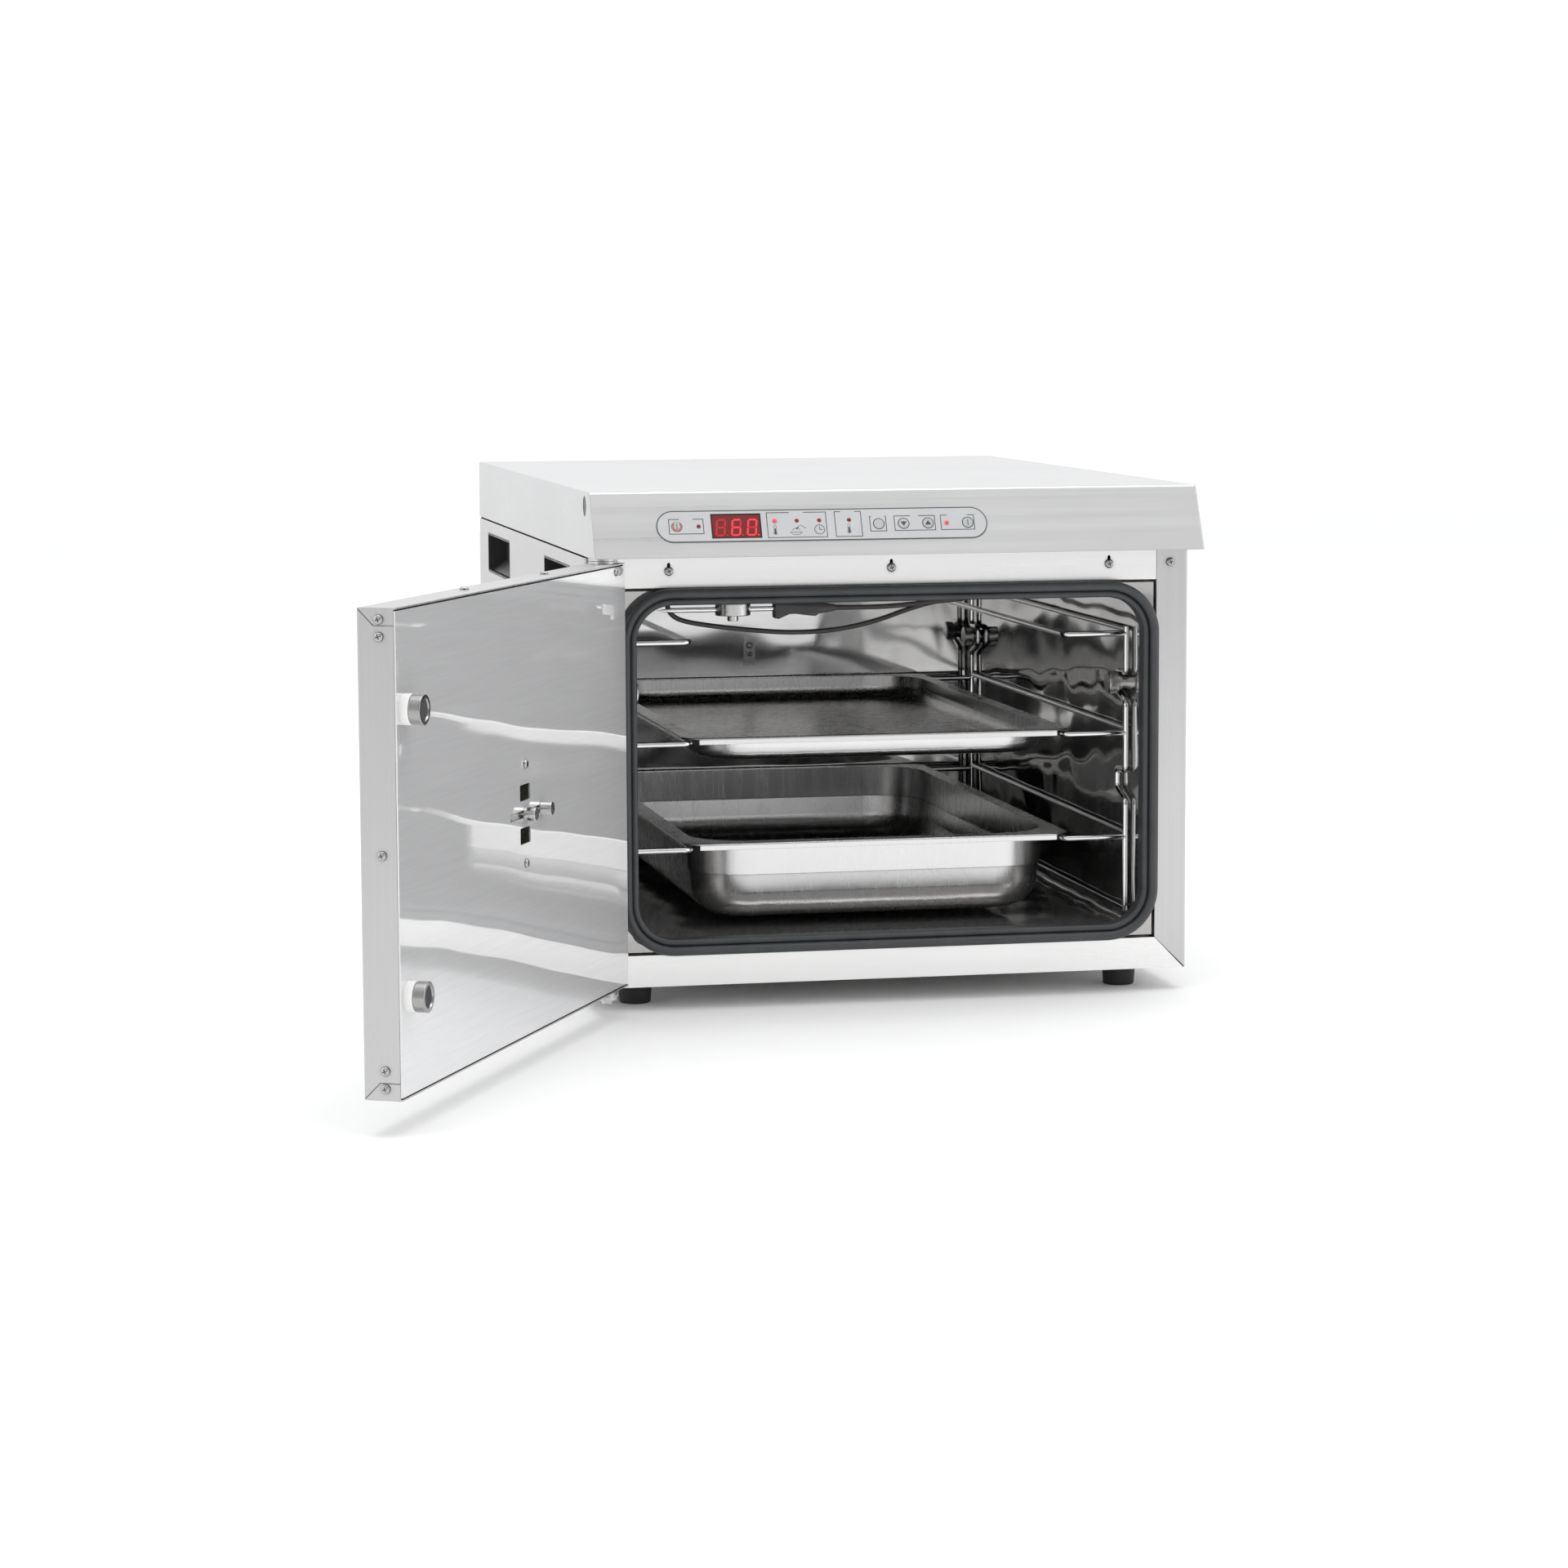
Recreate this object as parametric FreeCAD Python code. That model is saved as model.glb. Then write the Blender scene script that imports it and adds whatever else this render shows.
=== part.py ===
import FreeCAD, Part
import math
import os

# Counter-top cook-and-hold oven for gastronorm containers, millimetres.
# X runs to the right and Y to the back, seen from the front. Z is up from the worktop.
# The origin is on the worktop, under the middle of the cabinet's front frame.
# The door stands open as stored, turned about its pins by DOOR_OPEN from closed.

# ---------------------------------------------------------------- driving dimensions
WIDTH = 495.0
HEIGHT = 415.0
REAR = 640.0
FOOT_HEIGHT = 18.5
SHEET = 1.2
GAP = 0.3                       # between neighbouring sheets
CLEAR = 0.02                    # between pieces that lie on each other
FIT = 0.05                      # between a piece and the one that it turns or sits in

COVER_BOTTOM = 364.0
PANEL_TOP = 362.5
FASCIA_TOP_Y = -22.0
FASCIA_LIP_Y = -47.0
POST_WIDTH = 26.2
RAIL_TOP = 44.5
STRIP_BOTTOM = 337.6
RETURN_DEPTH = 12.0
STRIP_SCREWS = ((-180.0, 350.9), (0.7, 350.9), (181.2, 350.9))   # x and z
POST_SCREW = (232.7, 351.5)
FRAME_SCREW = (3.6, 2.4)        # radius and height of a pan head
CASING_SCREW = (3.4, 2.2)
REAR_SCREWS = ((-232.0, 30.0), (-232.0, 200.0), (-232.0, 402.0), (0.0, 30.0), (0.0, 402.0),
               (232.0, 30.0), (232.0, 200.0), (232.0, 402.0))
KEYHOLE = (2.2, 1.3, 5.4)       # lower radius, upper radius and the rise between them

FASCIA_BEND = 3.0               # outer radius between the fascia and the top
COVER_BEND = 2.0                # outer radius along the hood's sides
LIP_END_Y = -12.0
RELIEF_HOLE = (-5.0, 403.5, 8.0)      # y, z and radius of the round hole in the cover's left side
PLUG_FLANGE = 1.5
PLUG_DEPTH = 3.0
POST_BEND = 1.6
BASE_WALL = 22.0
BASE_WALL_SETBACK = 20.0
BASE_SLOTS = (-75.0, -60.0, -45.0, -30.0, -15.0, 0.0, 15.0, 30.0, 45.0, 60.0, 75.0)
BASE_SLOT = (420.0, 470.0, 3.0, 2.9)  # front, back, half width and corner
BACK_SLOTS_X = (-180.0, -130.0, -80.0, -30.0, 20.0, 70.0)
BACK_SLOTS_Z = (376.0, 385.0, 394.0)
BACK_SLOT = (18.0, 1.6, 1.5)          # half width, half height and corner
FOOT_RADII = (12.6, 14.2)             # at the worktop and at the base
FOOT_RIM = 1.6
FEET = ((-203.0, 42.0), (203.0, 42.0), (-203.0, 590.0), (203.0, 590.0))

GRIP_LENGTH = 147.0
GRIP_FRONTS = (73.0, 433.0)
GRIP_BOTTOM, GRIP_TOP = 316.0, 352.0
GRIP_DEPTH = 18.0
GRIP_WALL = 1.6
GRIP_CORNER = 3.0
GRIP_RAMP = (3.0, 12.0)               # where the floor's slope begins, and its height at the back

INLET = (165.0, 388.0)                # x and z of the mains inlet's middle, in the back panel
INLET_CUTOUT = (14.0, 10.5)           # half width and half height
INLET_FLANGE = (25.0, 11.5, 2.6, 4.0) # half width, half height, thickness and corner
INLET_BODY = (13.6, 10.1, 24.0)       # half width, half height and depth
INLET_WELL = (12.0, 8.2, 7.5, 3.2, 15.0)  # half width, half height, chamfered top's two, and depth
INLET_PINS = ((-7.0, -3.5), (7.0, -3.5), (0.0, 2.5))
INLET_PIN = (1.0, 2.0, 3.0)           # half thickness, half height, and how far it stops short
INLET_SCREW_X = 20.0

CAVITY_HALF_WIDTH = 212.0
CAVITY_FLOOR = 52.0
CAVITY_CEILING = 328.0
CAVITY_FRONT = 2.4
CAVITY_BACK = 590.0
LINER = 1.0
CAVITY_CORNER = 12.0
CAVITY_FLANGE = (219.4, 46.3, 335.2)  # half width, bottom, top
BACK_WALL_PLAY = 0.2
BACK_WALL_STEP = 8.0

SENSOR_X, SENSOR_Z = -1.6, 234.0
SENSOR_RADIUS = 2.0
SENSOR_REACH = 14.0                   # the tube's tip, in front of the back wall
SENSOR_LENGTH = 22.0
GUARD_HALF_WIDTH = 5.5
GUARD_BELOW, GUARD_ABOVE = 10.5, 14.5
GUARD_SHEET = 1.0
GUARD_RISE = 6.0
GUARD_SCREW_Z = 8.0

MAT_CLEAR, MAT_THICK = 0.3, 1.5
MAT_FRONT, MAT_BACK, MAT_TOP = 24.0, 566.0, 300.0
WOOL_LOW = (-226.5, 16.0, 21.5)
WOOL_HIGH = (226.5, 588.0, 346.0)
WOOL_BACK_LOW = (-210.0, CAVITY_BACK + 0.3, 54.0)
WOOL_BACK_HIGH = (210.0, REAR - 8.0, 326.0)
WOOL_CLEAR = 0.3

GASKET_OUTER = (220.5, 44.6, 337.3)   # half width, bottom, top
GASKET_WIDTH = 13.0
GASKET_CORNER = 42.0
GASKET_LOBES = (12.8, 16.6)           # heights of the inner and outer lobe
GASKET_SPLIT = 0.43                   # the inner lobe's share of the width

DOOR_OPEN = 117.5
HINGE_X = -237.4
HINGE_Y = -30.3
DOOR_INNER_Y = -15.2
DOOR_THICKNESS = 27.8
DOOR_HALF_WIDTH = 246.0
DOOR_BOTTOM = 25.5
DOOR_TOP = 360.1
PIN_RADIUS = 4.0
PIN_HEAD = (7.0, 4.0)                 # radius and height, above the hood's lip
PIN_BOTTOM = 340.0
PIN_LENGTH = 30.0
LOWER_HEAD = (4.7, 3.4)
LOWER_SLOT = (0.7, 11.5, 13.3)        # half width, bottom and top
DISC_RADIUS = 11.1
DISC_THICK = 1.75
FIXED_DISC_Z = 362.2
ARM_TOP, ARM_BOTTOM = 18.3, 15.4
ARM_HALF_WIDTH = 9.0
ARM_BACK = 70.0
ARM_SCREWS_Y = (20.0, 55.0)
WASHERS = ((7.5, 0.02, 3.3), (6.5, 3.4, 3.4))  # radius, height above the arm, thickness
BUSH_RADIUS = 7.2
BUSH_LENGTH = 22.0

DOOR_BEND = 1.5
SEAM_DROP, SEAM_WIDTH, SEAM_DEPTH = 12.0, 0.45, 0.5
PANEL_SHADOW = 1.0                    # dark gap above and below the inner sheet
PANEL_PLAY = 0.2
DOOR_GRIP = (402.0, 446.0, 135.0, 250.0)      # along from the hinge axis, and heights
DOOR_GRIP_DEPTH = 20.0
DOOR_GRIP_WALL = 1.8
DOOR_GRIP_CORNER = 4.0
DUCT_HALF_WIDTH, DUCT_HALF_HEIGHT = 62.0, 46.0
HINGE_ROOM = 16.0
DOOR_SCREW = (3.3, 2.0)
EDGE_SCREWS_Z = (352.2, 340.6, 192.8, 45.8, 33.6)
EDGE_SCREW_DEPTH = 12.0               # behind the inner face
RETURN_SCREWS = (305.0, 133.4)        # along from the hinge axis
RETURN_SCREW_DEPTH = 17.0
PANEL_SCREW = (13.9, 354.4)           # along from the hinge axis, and height

RACK_FRONT = 42.0
RACK_END = 560.0
RACK_POST_X = 208.3
RACK_RAIL_X = 156.0
ROD_RADIUS = 2.5
BAR_RADIUS = 2.0
RACK_LEVELS = (122.3, 208.5, 290.7)
HOOK_HEIGHTS = (168.0, 249.0)   # the studs are in the upper pair of hooks
HOOK_DEPTH = 24.2
HOOK_RISE = 9.2
HOOK_BEND = 5.0
RACK_BEND = 6.0
BAR_ABOVE_LOOP = 3.2
BOTTOM_BAR_Z = 62.0
POST_PAST_BAR = 1.2
HOOK_START, HOOK_END = 15.5, 7.5      # below the stud: where the hook leaves the upright and gets out
STUD_OFFSET = 15.0              # from the rack's upright, towards its middle
STUD_NECK = 6.3
STUD_HEAD = 9.0
STUD_HEAD_X = 205.4
STUD_HEAD_LENGTH = 8.8
STUD_NECK_LENGTH = 10.0
STUD_EDGE = 0.8

PAN_LENGTH = 530.0              # gastronorm 1/1
PAN_WIDTH = 325.0
PAN_FRONT = 47.0
PAN_RIM = 12.5
PAN_CORNER = 48.0
PAN_FLOOR_BEND = 26.0
PAN_SIDE_PLAY = 2.0
PAN_SHEET = 0.8
PAN_END_LIP = 13.0              # the turned-down ends stop this far from the sides
SHALLOW_DEPTH = 20.0
SHOULDER_SHARE = 0.42
DEEP_DEPTH = 65.0
BOWL_TAPER = 0.07                     # of the depth, each side
FLOOR_BEND_SHARE = 0.6                # of the depth, in a shallow pan
SHOULDER_STEP = 1.6
SHOULDER_LEAN = 0.6
FLANGE_CORNER = 16.0
FLANGE_BEND = 1.8
FLANGE_TURN = 4.6                     # the turned-down ends hang this far
FLANGE_SHEET = 1.0
FLANGE_UNDER = 0.2
PAN_LIFT = 0.5                        # between the flange and the rack's wire

FOIL_LEFT = -195.7
FOIL_RIGHT = 70.4
FOIL_HALF_HEIGHT = 13.3
FOIL_HEIGHT_ON_FASCIA = 26.4
FOIL = 0.4
KEYS = {"key_power": -179.5, "key_select": -17.7, "key_down": 2.4, "key_up": 22.2, "key_start": 54.6}
LED_RADIUS = 1.6
LEDS = ((-162.2, 0.0), (-101.3, 3.7), (-83.5, 3.7), (-65.5, 3.7), (-41.4, 3.7), (37.5, 0.0))
KEY_RADIUS = 4.1
KEY_TRAVEL = 0.5
DISPLAY = (-152.3, -112.2, -10.5, 10.5)   # left, right, lower and upper edge on the foil
WINDOW_STEP = 0.7
WINDOW_DEPTH = 1.6
DIGITS_FRONT, DIGITS_BACK = -1.9, -11.9   # behind the fascia's outer face
LED_TIP = 0.8
BOARD_BACK, BOARD_FRONT = -13.6, -12.0
BOARD_BELOW, BOARD_ABOVE = 16.0, 17.0     # from the foil's middle line
SWITCH_HALF = 3.0
BOARD_POST = (2.0, 10.8)                  # radius and length
KEY_BACK = -5.2
SWITCH_TOP = KEY_BACK - KEY_TRAVEL - 0.1
KEY_PROUD = 0.3
KEY_COLLAR = (1.0, -2.4, 0.8)             # extra radius, place and thickness

VENT_ALONG = 229.4              # from the hinge axis along the door
VENT_HEIGHT = 191.2
VENT_WINDOW = (22.0, 12.0)
VENT_WINDOW_OFFSET = 15.9
VENT_SCREW_OFFSET = 36.5
VENT_POST_PITCH = 35.2
VENT_TRAVEL = 26.0
STUD_RADIUS = 2.4
SLOT_PLAY = 5.0                       # more than the studs' travel
VENT_SLOT = (VENT_POST_PITCH + VENT_TRAVEL + 2 * STUD_RADIUS + SLOT_PLAY, 5.8)
VENT_SLOT_OFFSET = -2.6
VENT_COVER = (46.0, 44.0, 2.0, 6.0)   # half width, half height, thickness and corner
SHUTTER_PAST = (50.0, 30.0)           # plate's reach to the free edge and to the hinge
SHUTTER_HALF_HEIGHT = 26.0
SHUTTER_SHEET = 1.0
SHUTTER_GAP = 0.5
BARREL = (5.0, 8.6)                   # radius and length
KNOB = (8.5, 13.0, 2.4)               # radius, length and stand-off from the door

MAGNET_ALONG = 469.0
MAGNET_HEIGHTS = (95.5, 291.0)
MAGNET_RADIUS = 10.7
SPACER_THICK = 6.3
POT_DEPTH = 8.5
POT_RECESS = (7.4, 8.4, 7.3)          # radius at the magnet, radius at the rim, height of the magnet

CABLE_RADIUS = 2.0
PROBE_Y = 45.0
PROBE_Z = 316.4
HOLDER_X = -120.0
HOLDER_BOTTOM = 311.6
HOLDER_DISC = (14.3, 10.2)            # radius and thickness
HOLDER_BORE = 2.3
HOLDER_SPACER = 6.0
HOLDER_STUD = 2.5
HOLDER_TAIL = (4.4, 4.6)              # radius and drop
HANDLE_LEFT, HANDLE_RIGHT = -86.0, -36.0
HANDLE_HALF = 7.5
NEEDLE_TIP, NEEDLE_TAPER, NEEDLE_RADIUS = -182.0, 12.0, 2.0
GLAND_BARREL = (5.0, 13.0)
GLAND_COLLAR = (6.0, 7.5)
LOCK_NUT = (8.5, 4.0)
# From the gland in the cavity roof, down in a slack curve, round behind and back to the probe.
CABLE_ROUTE = (
    (-172.0, 57.5, 326.0), (-171.5, 57.7, 317.4), (-166.6, 59.0, 310.4), (-157.2, 61.2, 306.2),
    (-139.0, 64.5, 302.5), (-104.0, 68.0, 297.7), (-66.0, 71.5, 294.2), (-27.0, 77.0, 295.4),
    (8.0, 85.0, 301.6), (40.0, 94.5, 311.4), (65.0, 96.5, 317.0), (79.5, 82.5, 320.0),
    (79.5, 62.0, 321.0), (65.0, 49.0, 320.6), (42.0, 47.0, 319.0), (14.0, 45.4, 316.6),
    (-11.0, 45.0, 316.0), (-36.0, 45.0, 316.4),
)

HALF_WIDTH = WIDTH / 2
DOOR_OUTER_Y = DOOR_INNER_Y - DOOR_THICKNESS
FASCIA_RISE = HEIGHT - COVER_BOTTOM
FASCIA_RUN = FASCIA_TOP_Y - FASCIA_LIP_Y
FASCIA_TILT = math.degrees(math.atan2(FASCIA_RUN, FASCIA_RISE))
PAST = 20.0                     # how far a cutting shape runs past the material
X, Y, Z = (1, 0, 0), (0, 1, 0), (0, 0, 1)
BACKWARD, DOWN, LEFTWARD = (0, -1, 0), (0, 0, -1), (-1, 0, 0)


# ---------------------------------------------------------------- shape helpers
def block(low, high):
    return Part.makeBox(*[high[i] - low[i] for i in range(3)], FreeCAD.Vector(*low))


def rod(base, axis, radius, length):
    return Part.makeCylinder(radius, length, FreeCAD.Vector(*base), FreeCAD.Vector(*axis))


def cone(base, axis, radius, end_radius, length):
    return Part.makeCone(radius, end_radius, length, FreeCAD.Vector(*base), FreeCAD.Vector(*axis))


def ring(base, axis, radius, bore, length):
    return rod(base, axis, radius, length).cut(rod(base, axis, bore, length))


def prism(points, along):
    """The polygon's solid, pushed along a vector."""
    wire = Part.makePolygon([FreeCAD.Vector(*p) for p in list(points) + [points[0]]])
    return Part.Face(wire).extrude(FreeCAD.Vector(*along))


def edges_along(solid, axis):
    """The straight edges of a solid that run along one axis."""
    direction = FreeCAD.Vector(*axis)
    return [e for e in solid.Edges if isinstance(e.Curve, Part.Line)
            and abs(abs(e.Curve.Direction.dot(direction)) - 1) < 1e-6]


def rounded_block(low, high, radius, axis):
    """A block whose four edges along one axis are rounded."""
    solid = block(low, high)
    return solid.makeFillet(radius, edges_along(solid, axis))


def fuse(shapes):
    shapes = list(shapes)
    return shapes[0].multiFuse(shapes[1:]).removeSplitter() if len(shapes) > 1 else shapes[0]


def cut(shape, tools):
    return shape.cut(list(tools))


def mirrored(shape):
    """The same shape on the other side of the oven's middle plane."""
    return shape.mirror(FreeCAD.Vector(0, 0, 0), FreeCAD.Vector(*X))


def circles(solid):
    """The solid's round edges."""
    return [e for e in solid.Edges if isinstance(e.Curve, Part.Circle)]


def group(shapes):
    """Separate pieces of one kind that share a node."""
    return Part.makeCompound(list(shapes))


def bent_path(points, setback):
    """Straight runs joined by tangent arcs. setback(i) is how far from corner i its arc starts."""
    points = [FreeCAD.Vector(*p) for p in points]
    edges, radii, start = [], [], points[0]
    for i in range(1, len(points) - 1):
        before = (points[i] - points[i - 1]).normalize()
        after = (points[i + 1] - points[i]).normalize()
        half_turn = before.getAngle(after) / 2
        reach = setback(points, i, half_turn)
        radius = reach / math.tan(half_turn)
        first, last = points[i] - before * reach, points[i] + after * reach
        inward = (after - before).normalize()
        middle = points[i] + inward * (radius / math.cos(half_turn) - radius)
        edges.append(Part.LineSegment(start, first).toShape())
        edges.append(Part.Arc(first, middle, last).toShape())
        radii.append(radius)
        start = last
    edges.append(Part.LineSegment(start, points[-1]).toShape())
    return Part.Wire(edges), radii


def tube(points, radius, setback):
    path, radii = bent_path(points, setback)
    first, second = FreeCAD.Vector(*points[0]), FreeCAD.Vector(*points[1])
    section = Part.Wire(Part.makeCircle(radius, first, second - first))
    return path.makePipeShell([section], True, False), radii, path.Length


def bend(radius):
    """A fixed bend radius, as a rod or a tube is bent in a tool."""
    return lambda points, i, half_turn: radius * math.tan(half_turn)


def slack(points, i, half_turn):
    """A free cable's bend, as large as the two runs beside it allow."""
    return 0.45 * min((points[i] - points[i - 1]).Length, (points[i + 1] - points[i]).Length)


def cable(name, points, radius):
    """A free cable, with its bend radii and its volume checked against its length."""
    solid, radii, length = tube(points, radius, slack)
    ratio = solid.Volume / (math.pi * radius ** 2 * length)
    print(name, "length", round(length, 1), "volume ratio", round(ratio, 4))
    print(name, "bend radii", [round(r, 1) for r in radii])
    return solid


def pan_head(base, axis, radius, height, shank=1.8):
    """A domed screw head with a cross recess, standing on a surface, and its shank below it."""
    head = rod(base, axis, radius, height)
    top = [e for e in circles(head)
           if (e.Curve.Center - FreeCAD.Vector(*base)).dot(FreeCAD.Vector(*axis)) > height / 2]
    head = head.makeFillet(height * 0.7, top[:1])
    arm, wide, deep = radius * 0.55, radius * 0.2, height * 0.55
    cross = [block((-arm, -wide / 2, height - deep), (arm, wide / 2, height + 1)),
             block((-wide / 2, -arm, height - deep), (wide / 2, arm, height + 1))]
    turn = FreeCAD.Rotation(FreeCAD.Vector(*Z), FreeCAD.Vector(*axis))
    place = FreeCAD.Placement(FreeCAD.Vector(*base), turn)
    for bar in cross:
        bar.rotate(FreeCAD.Vector(0, 0, 0), FreeCAD.Vector(*Z), 20)
        bar.Placement = place.multiply(bar.Placement)
    back = tuple(-a for a in axis)
    return fuse([cut(head, cross), rod(base, back, radius * 0.5, shank)])


def from_axis(along, depth, height):
    """A place on the closed door: along it from the hinge axis, behind its inner face, and up."""
    return (HINGE_X + along, DOOR_INNER_Y - depth, height)


def opened(shape):
    """Turns a closed-door shape to where the door stands open."""
    turned = shape.copy()
    turned.rotate(FreeCAD.Vector(HINGE_X, HINGE_Y, 0), FreeCAD.Vector(*Z), -DOOR_OPEN)
    return turned


def on_fascia(shape):
    """Places a shape made flat, with X across, Y up the fascia and Z out of it."""
    placed = shape.copy()
    place = FreeCAD.Placement(
        FreeCAD.Vector(0, FASCIA_LIP_Y, COVER_BOTTOM),
        FreeCAD.Rotation(FreeCAD.Vector(*X), 90 - FASCIA_TILT))
    placed.Placement = place.multiply(placed.Placement)
    return placed


# ---------------------------------------------------------------- cabinet casing
def cover_outline(inset):
    """The hood's side view, moved in by a distance and open below where it is inset."""
    lean = math.radians(FASCIA_TILT)
    shift = inset / math.cos(lean)
    top = HEIGHT - inset
    bottom = COVER_BOTTOM - (PAST if inset else 0)
    slope = FASCIA_RUN / FASCIA_RISE
    front_top = FASCIA_TOP_Y + shift - slope * inset
    front_bottom = front_top - slope * (top - bottom)
    back = REAR + (PAST if inset else 0)
    return [(front_bottom, bottom), (front_top, top), (back, top), (back, bottom)]


def top_cover():
    """A hood of folded sheet: top, two sides and the leaning fascia with its return below."""
    def hood(inset):
        half = HALF_WIDTH - inset
        points = [(-half, y, z) for y, z in cover_outline(inset)]
        return prism(points, (2 * half, 0, 0))
    outer = hood(0)
    bends = [e for e in edges_along(outer, X) if e.CenterOfMass.z > HEIGHT - 1 and e.CenterOfMass.y < 0]
    outer = outer.makeFillet(FASCIA_BEND, bends)
    sides = [e for e in edges_along(outer, Y) if e.CenterOfMass.z > HEIGHT - 1]
    outer = outer.makeFillet(COVER_BEND, sides)
    shell = outer.cut(hood(SHEET))
    lip = block((-HALF_WIDTH + SHEET, FASCIA_LIP_Y + 0.8, COVER_BOTTOM),
                (HALF_WIDTH - SHEET, LIP_END_Y, COVER_BOTTOM + SHEET))
    relief = rod((-HALF_WIDTH - 5, RELIEF_HOLE[0], RELIEF_HOLE[1]), X, RELIEF_HOLE[2], 10)
    pin_hole = rod((HINGE_X, HINGE_Y, COVER_BOTTOM - 1), Z, PIN_RADIUS + FIT, 4)
    holes = [on_fascia(rod((x, FOIL_HEIGHT_ON_FASCIA, -4), Z, KEY_RADIUS + 0.4, 8)) for x in KEYS.values()]
    holes += [on_fascia(rod((x, FOIL_HEIGHT_ON_FASCIA + s, -4), Z, LED_RADIUS + 0.4, 8)) for x, s in LEDS]
    left, right, low, high = DISPLAY
    holes.append(on_fascia(block((left + 0.5, FOIL_HEIGHT_ON_FASCIA + low + 0.5, -4),
                                 (right - 0.5, FOIL_HEIGHT_ON_FASCIA + high - 0.5, 4))))
    return cut(fuse([shell, lip]), [relief, pin_hole] + holes)


def cover_plug():
    """A black plug pressed into the round hole in the cover's side."""
    y, z, radius = RELIEF_HOLE
    return fuse([rod((-HALF_WIDTH + GAP, y, z), X, radius - FIT, SHEET),
                 rod((-HALF_WIDTH + SHEET + FIT, y, z), X, radius + PLUG_FLANGE, PLUG_DEPTH)])


def side_panel_left():
    """Side sheet folded round the front corner into the post, with a return into the opening."""
    x0, x1 = -HALF_WIDTH, -HALF_WIDTH + POST_WIDTH
    solid = block((x0, 0, FOOT_HEIGHT), (x1, REAR - SHEET - GAP, PANEL_TOP))
    corner = [e for e in edges_along(solid, Z) if e.CenterOfMass.x < x0 + 0.1 and e.CenterOfMass.y < 0.1]
    solid = solid.makeFillet(POST_BEND, corner)
    solid = solid.cut(block((x0 + SHEET, SHEET, 0), (x1 - SHEET, REAR + 5, HEIGHT)))
    solid = solid.cut(block((x1 - SHEET - 1, RETURN_DEPTH, 0), (x1 + 1, REAR + 5, HEIGHT)))
    mitre = [(x0 + SHEET, -1, FOOT_HEIGHT - 1), (x1 + 1, -1, FOOT_HEIGHT - 1),
             (x1 + 1, -1, RAIL_TOP + 1), (x0 + SHEET, -1, FOOT_HEIGHT + SHEET)]
    solid = solid.cut(prism(mitre, (0, RETURN_DEPTH + 2, 0)))
    cuts = [rounded_block((x0 - 2, y, GRIP_BOTTOM), (x0 + 4, y + GRIP_LENGTH, GRIP_TOP), GRIP_CORNER, X)
            for y in GRIP_FRONTS]
    return cut(solid, cuts)


def base_pan():
    """Floor sheet with the front rail turned up between the posts, mitred to them."""
    half = HALF_WIDTH - SHEET - GAP
    floor = block((-half, SHEET, FOOT_HEIGHT), (half, REAR - SHEET - GAP, FOOT_HEIGHT + SHEET))
    inner = HALF_WIDTH - POST_WIDTH
    rail = prism([(-half, 0, FOOT_HEIGHT), (half, 0, FOOT_HEIGHT),
                  (inner, 0, RAIL_TOP - GAP), (-inner, 0, RAIL_TOP - GAP)], (0, SHEET, 0))
    shelf = block((-inner + 2, 0, RAIL_TOP - GAP - SHEET), (inner - 2, RETURN_DEPTH, RAIL_TOP - GAP))
    wall_top = FOOT_HEIGHT + BASE_WALL
    walls = [block((x, BASE_WALL_SETBACK, FOOT_HEIGHT), (x + SHEET, REAR - BASE_WALL_SETBACK, wall_top))
             for x in (-half, half - SHEET)]
    back = block((-half, REAR - 2 * SHEET - GAP, FOOT_HEIGHT), (half, REAR - SHEET - GAP, wall_top))
    front, end, wide, corner = BASE_SLOT
    slots = [rounded_block((x - wide, front, 0), (x + wide, end, wall_top), corner, Z) for x in BASE_SLOTS]
    return cut(fuse([floor, rail, shelf, back] + walls), slots)


def front_strip():
    """The frame's top member between the posts, with a keyhole above each of its screws."""
    inner = HALF_WIDTH - POST_WIDTH - GAP
    face = block((-inner, 0, STRIP_BOTTOM), (inner, SHEET, COVER_BOTTOM - GAP))
    shelf = block((-inner + 2, 0, STRIP_BOTTOM), (inner - 2, RETURN_DEPTH, STRIP_BOTTOM + SHEET))
    lower, upper, rise = KEYHOLE
    slots = [fuse([rod((x, -1, z), Y, lower, 4), rod((x, -1, z + rise), Y, upper, 4),
                   block((x - upper, -1, z), (x + upper, 3, z + rise))]) for x, z in STRIP_SCREWS]
    return cut(fuse([face, shelf]), slots)


def back_panel():
    """Back sheet, with the mains inlet's opening and rows of slots for the electronics' heat."""
    half = HALF_WIDTH - SHEET - GAP
    sheet = block((-half, REAR - SHEET, FOOT_HEIGHT), (half, REAR, HEIGHT - SHEET - GAP))
    x, z = INLET
    wide, high = INLET_CUTOUT
    opening = block((x - wide, REAR - 5, z - high), (x + wide, REAR + 5, z + high))
    wide, high, corner = BACK_SLOT
    slots = [rounded_block((c - wide, REAR - 5, h - high), (c + wide, REAR + 5, h + high), corner, Y)
             for c in BACK_SLOTS_X for h in BACK_SLOTS_Z]
    return cut(sheet, [opening] + slots)


def foot(x, y):
    """A tapered rubber foot, narrower at the worktop, with a rounded lower rim."""
    body = cone((x, y, 0), Z, FOOT_RADII[0], FOOT_RADII[1], FOOT_HEIGHT - 0.1)
    rim = [e for e in circles(body) if e.CenterOfMass.z < 1]
    return body.makeFillet(FOOT_RIM, rim[:1])


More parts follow.
